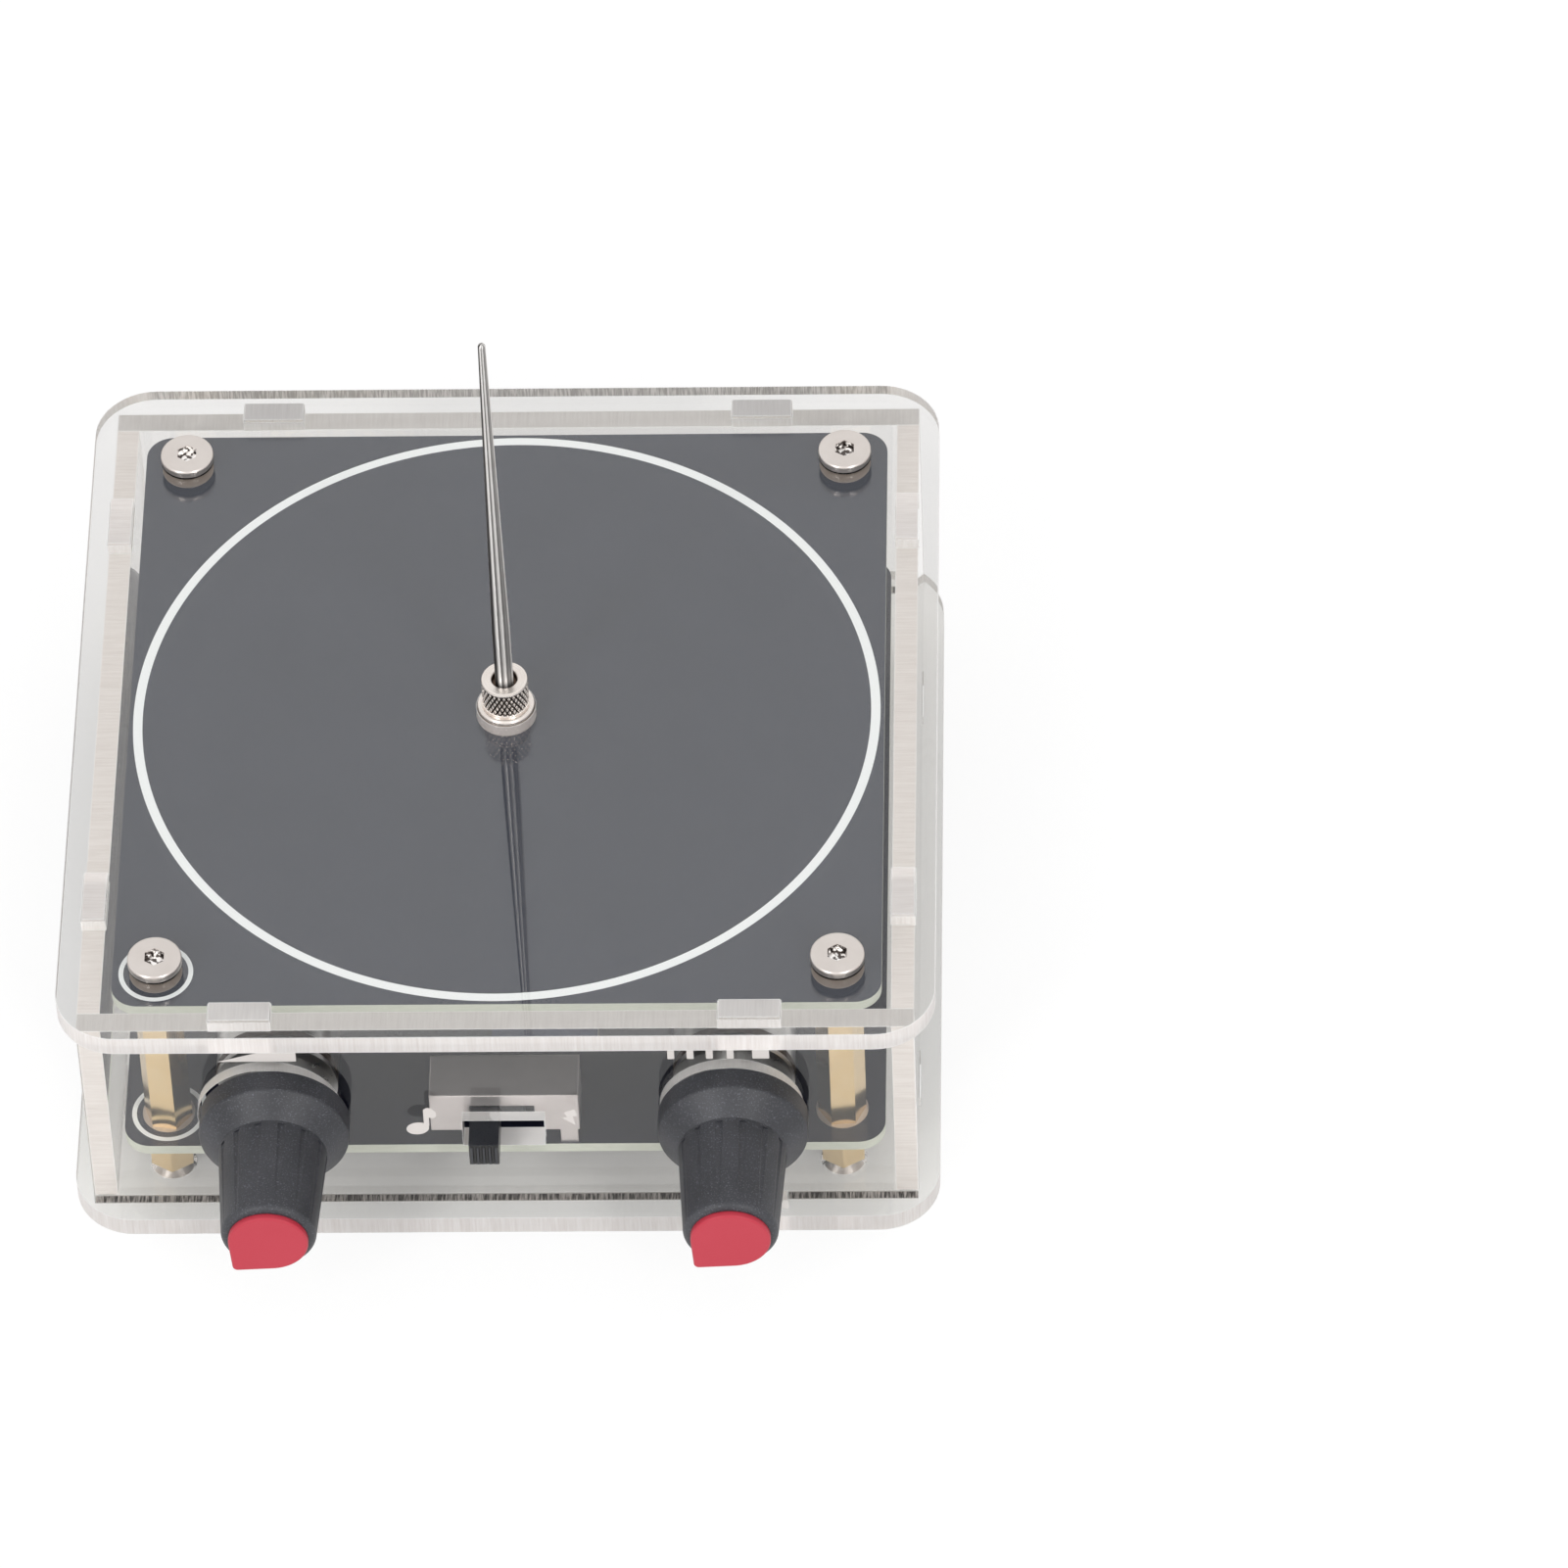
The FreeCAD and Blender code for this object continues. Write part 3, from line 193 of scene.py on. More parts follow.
def acrylic(name, sheet, stretch, streaks, painted_shade, painted_shade_side, painted_shade_place, hole=(0, 0, 0), reach=0.0,
            painted_hole_shade="#ffffff", core=0.0, core_half=1000.0):
    """sheet is the way that the sheet faces, and stretch draws the pulses out across it. The streaks and the
    painted shade specks are two shades each. The specks of painted shade lie on the face at the given place
    along the given side, and in the sheet's thickness they keep to core_half on each side of core. The hole's
    walls lie within reach of its middle and are painted one flat shade. All in mm."""
    material, shader = start_finish(name, {
        "Base Color": colour("#f6f4f2"), "IOR": 1.49, "Transmission Weight": 1.0})
    tree = material.node_tree
    place = pattern_space(tree)
    normal = add(tree, "ShaderNodeNewGeometry").outputs["True Normal"]
    facing = measure(tree, "DOT_PRODUCT", normal, sheet)
    edge = ramp(tree, reckon(tree, "MULTIPLY", facing, facing), 0.5, 0.4)
    pulses = noise(tree, pattern_space(tree, stretch), 3.5, 3.0, 0.6)

    # Painted shade: dark specks on the face at the given place along the given side, in the middle of the
    # sheet's thickness.
    along = measure(tree, "DOT_PRODUCT", place, painted_shade_side)
    across = reckon(tree, "ABSOLUTE", measure(tree, "DOT_PRODUCT", place, sheet))
    painted_shade_mask = reckon(tree, "MULTIPLY", ramp(tree, along, painted_shade_place - 0.15, painted_shade_place - 0.05),
                    reckon(tree, "COMPARE", across, core, core_half))
    # The walls of a hole are painted one flat shade of their own.
    painted_hole_mask = ramp(tree, measure(tree, "DISTANCE", place, hole), reach, reach - 0.2)
    cut = cut_colour(tree, pulses, stretch, streaks, painted_shade, painted_shade_mask, painted_hole_mask, painted_hole_shade)

    # Every rim is painted white, a painted highlight line where a rounded corner would turn away.
    rounded = add(tree, "ShaderNodeBevel", {"Radius": 0.26 * MM}, samples=4).outputs[0]
    turned_away = reckon(tree, "ABSOLUTE", measure(tree, "DOT_PRODUCT", rounded, normal))
    rim_painted_highlight = ramp(tree, turned_away, 0.99, 0.8)
    frosted = reckon(tree, "MAXIMUM", edge, rim_painted_highlight)
    plug(shader, {
        "Base Color": blend(tree, rim_painted_highlight, blend(tree, edge, colour("#fbfaf9"), cut), colour("#ffffff")),
        "Normal": relief(tree, reckon(tree, "MULTIPLY", pulses, edge), 0.4, 0.05),
        "Roughness": reckon(tree, "MULTIPLY", frosted, 0.4),
        "Transmission Weight": between(tree, frosted, 1.0, 0.3)})

    rays = add(tree, "ShaderNodeLightPath").outputs
    passing = reckon(tree, "MAXIMUM", rays["Is Shadow Ray"], rays["Is Diffuse Ray"])
    clear = add(tree, "ShaderNodeBsdfTransparent", {"Color": colour("#fbfbfa")})
    both = add(tree, "ShaderNodeMixShader", {0: passing, 1: shader.outputs["BSDF"], 2: clear.outputs[0]})
    out = next(n for n in tree.nodes if n.type == "OUTPUT_MATERIAL")
    tree.links.new(both.outputs[0], out.inputs["Surface"])
    return material


plate_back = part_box("top_plate")[1].y / MM
wall_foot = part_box("bottom_plate")[1].z / MM
front_middle = -(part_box("front_wall")[0].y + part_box("front_wall")[1].y) / 2 / MM
side_middle = (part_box("right_wall")[0].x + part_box("right_wall")[1].x) / 2 / MM
lid_hole, lever_hole = (0, 0, 38.7), (2.8, -52, 17)
down, back = (0, 0, -1), (0, 1, 0)
# Painted shade: dark specks along the walls' bottom edges, and grey specks along the plates' back edges.
wall_painted_shade, plate_painted_shade = ("#35312f", "#c8c1bd"), ("#a49f9b", "#e2ddda")
# Hole walls painted one flat shade: a darker pinkish grey round the nut as painted shade, and near white
# round the lever slot as a painted highlight.
give(acrylic("acrylic_flat", (0, 0, 1), (1, 1, 0.05), ("#e4ddd9", "#f6f2f0"), plate_painted_shade, back, plate_back,
             hole=lid_hole, reach=5.0, painted_hole_shade="#d2c8c3"),
     "bottom_plate", "top_plate")
# The front and back walls' cut edges are painted a darker grey than the other sheets', as painted shade.
give(acrylic("acrylic_front", (0, 1, 0), (1, 0.05, 1), ("#cecac8", "#dbd8d6"), wall_painted_shade, down, -wall_foot,
             hole=lever_hole, reach=5.2, painted_hole_shade="#fdfbfa", core=front_middle, core_half=1.08),
     "front_wall", "back_wall")
give(acrylic("acrylic_side", (1, 0, 0), (0.05, 1, 1), ("#e3dcd8", "#f2edea"), wall_painted_shade, down, -wall_foot,
             core=side_middle, core_half=1.08),
     "left_wall", "right_wall")

# %% [markdown]
# ## Circuit boards
# The boards are glass-fibre laminate (FR4) under black solder mask, a glossy lacquer about 0.02 mm thick
# that follows the weave below it very faintly. Their sawn edges show the bare laminate, a greenish white
# with layers. A flat black would look like card, so the lacquer mirrors the room and a fine ripple
# unsettles the mirror.

# %% Lacquered board with a sawn edge
def board_finish(name, mask_code, cloud_code, edge_code, resin_code):
    material, shader = start_finish(name, {"Roughness": 0.13, "IOR": 1.5})
    tree = material.node_tree
    space = pattern_space(tree)
    normal = add(tree, "ShaderNodeNewGeometry").outputs["True Normal"]
    up = add(tree, "ShaderNodeSeparateXYZ", {0: normal}).outputs["Z"]
    mask = ramp(tree, reckon(tree, "ABSOLUTE", up), 0.4, 0.6)
    layers = noise(tree, pattern_space(tree, (0.15, 0.15, 1)), 4.0)
    edge = blend(tree, layers, colour(edge_code), colour(resin_code))
    lacquer = blend(tree, noise(tree, space, 0.08, 4.0), colour(mask_code), colour(cloud_code))
    plug(shader, {
        "Base Color": blend(tree, mask, edge, lacquer),
        "Roughness": between(tree, mask, 0.55, 0.12),
        "Normal": relief(tree, noise(tree, space, 0.9), 0.1, 0.02)})
    return material


give(board_finish("solder_mask_dusty_black", "#333742", "#3a3e4a", "#aeb2a6", "#c8cbc0"), "coil_board")
give(board_finish("solder_mask_black", "#1b1d2b", "#222433", "#bcc0b3", "#d6d9cc"), "driver_board")
give(board_finish("solder_mask_blue", "#12305f", "#1a3a6c", "#c8c9b0", "#dcdcc6"), "receiver_board")

# %% [markdown]
# ## Metals
# Each metal is a full mirror whose look comes from its colour and from the tool that made it: turned parts
# carry rings, drawn brass bar carries lines along its length, and plating is soft and cloudy. One function
# makes them all, with the direction of the tool marks as a stretch of the pattern, since only that and the
# colour differ. Tinned pads and thin tinned sheet are duller than a mirror. A metal can have zones of other
# shades, and these are painted light: painted shade in the knurl's grooves, in the nut's bore and on the
# lower rim of the screw heads, and painted glints with painted shade in the screws' sockets. The socket of
# the needle, down in the nut's bore, is a nickel painted dark as painted shade, and the needle itself
# carries painted reflection lines, dark and bright, along its length. A metal's own IOR is left as it is.

# %% Plated, turned and drawn metals
def zone_mask(tree, spans):
    """1 where every value lies between its two ends, with borders that fade over 0.1 mm."""
    inside = None
    for value, (low, high) in spans:
        for start, end in ((low - 0.05, low + 0.05), (high + 0.05, high - 0.05)):
            step = ramp(tree, value, start, end)
            inside = step if inside is None else reckon(tree, "MULTIPLY", inside, step)
    return inside


def metal(name, light, dark, rough, marks, stretch, depth, spread=0.08, turned_about=None, painted_light_zones=(), **more):
    """marks is the spacing of the tool marks and depth their height, both in mm. Each zone of painted light
    and shade is a range of heights, a range of distances from the turning axis, two shades and the spacing of
    their blotches."""
    material, shader = start_finish(name, {"Metallic": 1.0, **more})
    tree = material.node_tree
    place = pattern_space(tree)
    space = pattern_space(tree, stretch)
    if turned_about:
        arm = measure(tree, "SUBTRACT", measure(tree, "ABSOLUTE", place), turned_about)
        reach = measure(tree, "LENGTH", measure(tree, "MULTIPLY", arm, (1, 1, 0)))
        space = add(tree, "ShaderNodeCombineXYZ", {"X": reach}).outputs[0]
    lines = noise(tree, space, 1 / marks, 3.0, 0.6)
    tone = blend(tree, noise(tree, place, 0.35, 4.0), colour(dark), colour(light))
    # Painted light and shade in zones: glints and dark patches laid over the metal's tone.
    for heights, reaches, deep, raised, spacing in painted_light_zones:
        height = add(tree, "ShaderNodeSeparateXYZ", {0: place}).outputs["Z"]
        blotches = ramp(tree, noise(tree, place, 1 / spacing, 1.0), 0.46, 0.54)
        shade = blend(tree, blotches, colour(deep), colour(raised))
        tone = blend(tree, zone_mask(tree, ((height, heights), (reach, reaches))), tone, shade)
    plug(shader, {
        "Base Color": tone,
        "Roughness": between(tree, lines, rough - spread, rough + spread),
        "Normal": relief(tree, lines, 0.4, depth)})
    return material


def painted_reflection_lines(material):
    """Lays dark and bright lines over a rod's colour, by the direction from its upright axis, as a painted
    reflection.
    """
    tree = material.node_tree
    shader = tree.nodes["Principled BSDF"]
    way = measure(tree, "NORMALIZE", measure(tree, "MULTIPLY", pattern_space(tree), (1, 1, 0)))
    lines = add(tree, "ShaderNodeTexNoise", {
        "Vector": way, "W": 41.0, "Scale": 2.0, "Detail": 0.0}, noise_dimensions="4D")
    bright = ramp(tree, lines.outputs["Fac"], 0.4, 0.6)
    old = shader.inputs["Base Color"].links[0].from_socket
    plug(shader, {"Base Color": blend(tree, bright, colour("#4c4a49"), old)})


screw_reach = 44.3
screw_place = (screw_reach, screw_reach, 0)
head_foot, head_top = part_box("top_plate")[1].z / MM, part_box("top_screws")[1].z / MM
# Painted glints and shade in the screws' sockets, and a painted dark ring of shade on the lower rim of the
# heads.
nickel_head = metal(
    "nickel_turned", "#e0d9d4", "#cfc7c1", 0.3, 0.22, (1, 1, 1), 0.01, turned_about=screw_place,
    painted_light_zones=(((head_top - 1.4, head_top - 0.1), (-1, 1.55), "#5d5653", "#fffcf9", 0.6),
           ((head_foot - 0.5, head_foot + 0.3), (3.3, 4), "#24211f", "#4a4542", 0.8)))
nickel_nut = metal("nickel_plated", "#d8cfc9", "#c4bab3", 0.27, 0.3, (1, 1, 1), 0.01)
nut_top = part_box("thumb_nut")[1].z / MM
# Painted shade: the knurl's grooves and the nut's bore are painted dark, and the top of the bore a dark
# brown.
knurled_nickel = metal(
    "nickel_knurled", "#f0e9e3", "#ddd4cd", 0.27, 0.3, (1, 1, 1), 0.01, turned_about=(0, 0, 0),
    painted_light_zones=(((nut_top - 4.3, nut_top - 0.5), (-1, 2.98), "#1d1917", "#4b423d", 0.4),
           ((nut_top - 1, nut_top - 0.1), (-1, 1.76), "#5a4a40", "#8d7a6c", 0.9)))
# The needle's socket sits in the nut's bore and is painted dark brown as painted shade.
painted_shade_nickel = metal("nickel_painted_shade", "#6e5d52", "#483b33", 0.4, 0.3, (1, 1, 1), 0.01)
zinc = metal("zinc_plated", "#d9d3cf", "#c6bfbb", 0.33, 0.4, (1, 1, 1), 0.01)
tin = metal("tinned_copper", "#dcdad6", "#c6c4c0", 0.4, 0.9, (1, 1, 1), 0.02)
pad_tin = metal("tinned_pad", "#d2c6be", "#bbaea5", 0.35, 0.9, (1, 1, 1), 0.02, Metallic=0.6)
brass = metal("brass_drawn", "#f2dcb4", "#e6c894", 0.17, 0.16, (1, 1, 0.03), 0.006, spread=0.06)
wire_copper = metal("copper_enamelled", "#b8673a", "#93481f", 0.25, 0.5, (1, 1, 1), 0.01)
aluminium = metal("aluminium_turned", "#cfcfce", "#b6b6b6", 0.3, 0.12, (0.05, 1, 0.05), 0.01)
steel_sheet = metal("steel_tinned_sheet", "#e8e1df", "#d8d1cf", 0.32, 0.25, (0.06, 1, 1), 0.003,
                    Metallic=0.85)
needle_steel = metal(
    "needle_ground_steel", "#fffdfb", "#e6e2de", 0.4, 0.09, (0.1, 0.1, 1), 0.004, spread=0.04,
    Anisotropic=0.95, **{"Anisotropic Rotation": 0.25})
black_anodised = metal("aluminium_black_anodised", "#2a2b2e", "#1c1d1f", 0.42, 0.2, (1, 1, 0.05), 0.012)

give(nickel_head, "top_screws")
give(nickel_nut, "socket_nut")
give(painted_shade_nickel, "needle_socket")
give(knurled_nickel, "thumb_nut")
give(zinc, "bottom_screws", "transistor_screws")
give(pad_tin, "coil_pads", "driver_pads")
give(tin, "switch_pins", "inlet_pin", "inlet_tabs", "chip_legs", "receiver_shield",
     "power_pot_pins", "frequency_pot_pins")
give(brass, "short_standoffs", "tall_standoffs")
give(wire_copper, "choke_winding", "feedback_winding")
give(aluminium, "power_pot_shaft", "frequency_pot_shaft", "power_pot_case", "frequency_pot_case",
     "power_pot_bushing", "frequency_pot_bushing")
give(steel_sheet, "switch_shell")
soften(steel_sheet, 0.3)
give(needle_steel, "needle")
# Painted reflection: dark and bright lines along the needle.
painted_reflection_lines(needle_steel)
give(black_anodised, "heat_sink")

# %% [markdown]
# ## Moulded plastics
# The knobs, the switch lever and the component bodies are moulded plastic: ABS, nylon and epoxy. The
# mould's spark-eroded wall leaves a fine grit, a tenth to a third of a millimetre, which greys the
# highlights. One function takes the two shades, the gloss and the grit, because these are what tells one
# plastic from another. The grooves of the lever are painted darker by their depth, as painted shade.

# %% Moulded bodies
def moulded(name, shade, tint, rough, grit, depth, speckle=0.0, **more):
    """grit and depth are in mm. speckle is how much of the tint shows as fine dots."""
    material, shader = start_finish(name, {"IOR": 1.5, **more})
    tree = material.node_tree
    space = pattern_space(tree)
    grain = noise(tree, space, 1 / grit, 3.0, 0.65)
    dots = ramp(tree, grain, 0.56, 0.72, speckle)
    share = reckon(tree, "MULTIPLY_ADD", noise(tree, space, 0.15, 3.0), 0.4, dots)
    plug(shader, {
        "Base Color": blend(tree, share, colour(shade), colour(tint)),
        "Roughness": between(tree, grain, rough - 0.1, rough + 0.1),
        "Normal": relief(tree, grain, 0.5, depth)})
    return material


def paint_groove_shade(material, nearest, farthest):
    """Paints shade, a near black, between two depths along Y in mm."""
    tree = material.node_tree
    shader = tree.nodes["Principled BSDF"]
    depth = add(tree, "ShaderNodeSeparateXYZ", {0: pattern_space(tree)}).outputs["Y"]
    inside = reckon(tree, "MULTIPLY", ramp(tree, depth, nearest - 0.02, nearest + 0.02),
                    ramp(tree, depth, farthest + 0.02, farthest - 0.02))
    old = shader.inputs["Base Color"].links[0].from_socket
    plug(shader, {"Base Color": blend(tree, inside, old, colour("#060607"))})


knob_plastic = moulded("abs_black_grained", "#141519", "#5f6068", 0.45, 0.22, 0.08, speckle=0.9)
cap_plastic = moulded("abs_red", "#b32438", "#c43a4c", 0.45, 0.3, 0.02)
lever_plastic = moulded("nylon_black", "#24252a", "#3a3c42", 0.3, 0.2, 0.02)
epoxy = moulded("epoxy_black", "#1a1b1d", "#2a2b2d", 0.5, 0.12, 0.02)
masked_copper = moulded("copper_under_mask", "#1c1a1b", "#2f2827", 0.16, 0.6, 0.01)
sleeve = moulded("sleeve_black", "#15171c", "#22252b", 0.25, 0.5, 0.01)
film_coat = moulded("epoxy_dipped_red", "#7c2114", "#97301e", 0.22, 0.8, 0.03)
yellow_paint = moulded("core_yellow_epoxy", "#c9a83a", "#dcbe55", 0.45, 0.3, 0.04)
green_paint = moulded("core_green_epoxy", "#225a35", "#2f6e44", 0.45, 0.3, 0.04)
wafer = moulded("phenolic_dark", "#2e221b", "#3d2f26", 0.5, 0.25, 0.03)
lacquer_tan = moulded("resistor_lacquer", "#bfa679", "#cdb78d", 0.35, 0.3, 0.02)

give(knob_plastic, "power_knob", "frequency_knob")
give(cap_plastic, "power_knob_cap", "frequency_knob_cap")
soften(cap_plastic, 0.3)
give(lever_plastic, "switch_lever", "switch_base", "inlet_body")
soften(lever_plastic, 0.12)
# Painted shade in the grooves at the front of the lever.
lever_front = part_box("switch_lever")[0].y / MM
paint_groove_shade(lever_plastic, lever_front + 0.05, lever_front + 0.25)
give(epoxy, "power_transistors", "regulator", "control_chips")
give(masked_copper, "primary_winding", "secondary_winding")
give(sleeve, "bulk_capacitors")
give(film_coat, "film_capacitors")
give(yellow_paint, "choke_core")
give(green_paint, "feedback_core")
give(wafer, "power_pot_wafer", "frequency_pot_wafer")
give(lacquer_tan, "resistors")
print("nodes still to be dressed:", sorted(set(nodes) - dressed))

# %% [markdown]
# ## Paths and sweeps
# Printed lines and wound wires have one thing in common: a section that follows a path. A curve object with
# a bevel would do for one of them. A Geometry Nodes tree does it for all, with the section's width, height
# and finish as named inputs, and the path comes in as a mesh of loose edges that a few lines of Python lay
# out.

# %% The start and the end of a tree, and the sweep tree
def start_tree(name, shape, numbers):
    """Returns a Geometry Nodes tree that takes a shape, numbers and a finish, and its input's sockets."""
    tree = bpy.data.node_groups.new(name, "GeometryNodeTree")
    for label in (shape, *numbers, "Finish"):
        kind = {shape: "Geometry", "Finish": "Material"}.get(label, "Float")
        tree.interface.new_socket(label, in_out="INPUT", socket_type="NodeSocket" + kind)
    tree.interface.new_socket("Geometry", in_out="OUTPUT", socket_type="NodeSocketGeometry")
    return tree, add(tree, "NodeGroupInput").outputs


def end_tree(tree, geometry, finish):
    """Makes every repeat real and gives it the finish, since an export drops what isn't real."""
    real = add(tree, "GeometryNodeRealizeInstances", {"Geometry": geometry})
    done = add(tree, "GeometryNodeSetMaterial", {"Geometry": real.outputs[0], "Material": finish})
    add(tree, "NodeGroupOutput", {"Geometry": done.outputs[0]})
    return tree


def sweep_tree(name, round_section):
    """A tree that sweeps a round or a flat section along the edges that come in."""
    tree, source = start_tree(name, "Path", ("Width", "Height"))
    path = add(tree, "GeometryNodeMeshToCurve", {"Mesh": source["Path"]})
    if round_section:
        half = reckon(tree, "MULTIPLY", source["Width"], 0.5)
        section = add(tree, "GeometryNodeCurvePrimitiveCircle", {"Resolution": 10, "Radius": half})
    else:
        section = add(tree, "GeometryNodeCurvePrimitiveQuadrilateral", {
            "Width": source["Width"], "Height": source["Height"]})
    swept = add(tree, "GeometryNodeCurveToMesh", {
        "Curve": path.outputs[0], "Profile Curve": section.outputs[0], "Fill Caps": True})
    smooth = add(tree, "GeometryNodeSetShadeSmooth", {
        "Geometry": swept.outputs[0], "Shade Smooth": round_section})
    return end_tree(tree, smooth.outputs[0], source["Finish"])


wire_sweep = sweep_tree("Wire sweep", True)
line_sweep = sweep_tree("Printed line sweep", False)
print("trees:", [t.name for t in bpy.data.node_groups])

# %% Turn a mesh and a tree into one finished piece
def keep(name, mesh, body, finish=None):
    """Links a finished mesh as a piece of the object that rides on a CAD body."""
    piece = bpy.data.objects.new(name, mesh)
    bpy.context.scene.collection.objects.link(piece)
    if finish:
        mesh.materials.clear()
        mesh.materials.append(finish)
    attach(piece, body)
    return piece


def grown(name, mesh, tree, values, body):
    """Runs a Geometry Nodes tree on a mesh, keeps the result as a plain mesh and drops the modifier."""
    host = bpy.data.objects.new(name + "_host", mesh)
    bpy.context.scene.collection.objects.link(host)
    modifier = host.modifiers.new("nodes", "NODES")
    modifier.node_group = tree
    for socket in tree.interface.items_tree:
        if socket.item_type == "SOCKET" and socket.in_out == "INPUT" and socket.name in values:
            modifier[socket.identifier] = values[socket.name]
    graph = bpy.context.evaluated_depsgraph_get()
    result = bpy.data.meshes.new_from_object(host.evaluated_get(graph), depsgraph=graph)
    bpy.data.objects.remove(host)
    piece = keep(name, result, body)
    print(name, "has", len(result.polygons), "faces")
    return piece


def path_mesh(name, paths):
    """Loose edges along each path. A path is a list of points in mm and closed if it says so."""
    mesh = bpy.data.meshes.new(name)
    points, edges = [], []
    for line, closed in paths:
        first = len(points)
        points += [Vector(p) * MM for p in line]
        edges += [(first + i, first + i + 1) for i in range(len(line) - 1)]
        edges += [(len(points) - 1, first)] * closed
    mesh.from_pydata(points, edges, [])
    return mesh


def ring_points(x, y, z, radius, count=96):
    """Points round a level circle."""
    angles = [2 * math.pi * i / count for i in range(count)]
    return [(x + radius * math.cos(a), y + radius * math.sin(a), z) for a in angles]


# %% [markdown]
# ## Printed lines
# The white ring on the coil board and the small rings round two screw holes are screen-printed epoxy ink,
# about 0.02 mm thick. They could be drawn in the board's material, but then they would be as sharp as the
# texture that an export bakes. A swept flat section is crisp at any size, and it has the ink's own dull
# surface.

# %% Ink and the rings on the two boards
ink = moulded("ink_white", "#f4f8fa", "#fdfefe", 0.6, 0.25, 0.01)
ink_thickness = 0.02
coil_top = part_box("coil_board")[1].z / MM
driver_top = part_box("driver_board")[1].z / MM
big_ring = [(ring_points(0, 0, coil_top + ink_thickness / 2, 48.85, 288), True)]
grown("printed_ring", path_mesh("ring_path", big_ring), line_sweep,
      {"Width": 1.25 * MM, "Height": ink_thickness * MM, "Finish": ink}, "case")
small_rings = [(ring_points(-screw_reach, -screw_reach, top + ink_thickness / 2, 4.55), True)
               for top in (coil_top, driver_top)]
grown("printed_hole_rings", path_mesh("hole_ring_path", small_rings), line_sweep,
      {"Width": 0.63 * MM, "Height": ink_thickness * MM, "Finish": ink}, "case")

# %% [markdown]
# ## Knurled nut
# The nut that clamps the needle is turned brass with nickel plating, and its grip is a diamond knurl: two
# sets of slanting grooves pressed in by a rolling tool. A bump map would leave its outline smooth, so a
# Geometry Nodes tree moves the points of a fine lathe mesh. Where a point stands between two grooves of
# both sets it stays up, and towards a groove it sinks. The tree's inputs are what a turner would ask for.

# %% Turn the blank of the nut
nut_low, nut_high = (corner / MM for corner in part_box("thumb_nut"))
nut_bore, nut_radius, flange_radius, flange_top = 1.67, 3.1, 3.8, 40.9
band_foot, band_top = flange_top + 0.25, nut_high.z - 0.45
diamonds_round, diamond_height = 28, 1.35
steps_round, steps_each = diamonds_round * 8, 10


def lathe(name, profile, count):
    """Turns a closed profile of radius and height, in mm, about the upright axis."""
    mesh, shape = bpy.data.meshes.new(name), bmesh.new()
    rows = []
    for radius, height in profile:
        rows.append([shape.verts.new((radius * MM * math.cos(2 * math.pi * i / count),
                                      radius * MM * math.sin(2 * math.pi * i / count), height * MM))
                     for i in range(count)])
    for low, high in zip(rows, rows[1:] + rows[:1]):
        for i in range(count):
            shape.faces.new((low[i], low[(i + 1) % count], high[(i + 1) % count], high[i]))
    bmesh.ops.recalc_face_normals(shape, faces=shape.faces)
    shape.to_mesh(mesh)
    shape.free()
    return mesh


band_rows = round((band_top - band_foot) / diamond_height * steps_each)
band = [(nut_radius, band_foot + (band_top - band_foot) * i / band_rows) for i in range(band_rows + 1)]
flange_round = [(flange_radius - 0.45 + 0.45 * math.cos(math.radians(a)),
                 flange_top - 0.45 + 0.45 * math.sin(math.radians(a))) for a in range(0, 91, 15)]
nut_profile = [(nut_bore, nut_low.z), (flange_radius - 0.1, nut_low.z), (flange_radius, nut_low.z + 0.1),
               *flange_round, (nut_radius - 0.06, flange_top), *band,
               (nut_radius, nut_high.z - 0.3), (nut_radius - 0.09, nut_high.z - 0.09),
               (nut_radius - 0.3, nut_high.z), (nut_bore + 0.15, nut_high.z), (nut_bore, nut_high.z - 0.15)]
print("rows in the knurl:", band_rows, "and points round it:", steps_round)


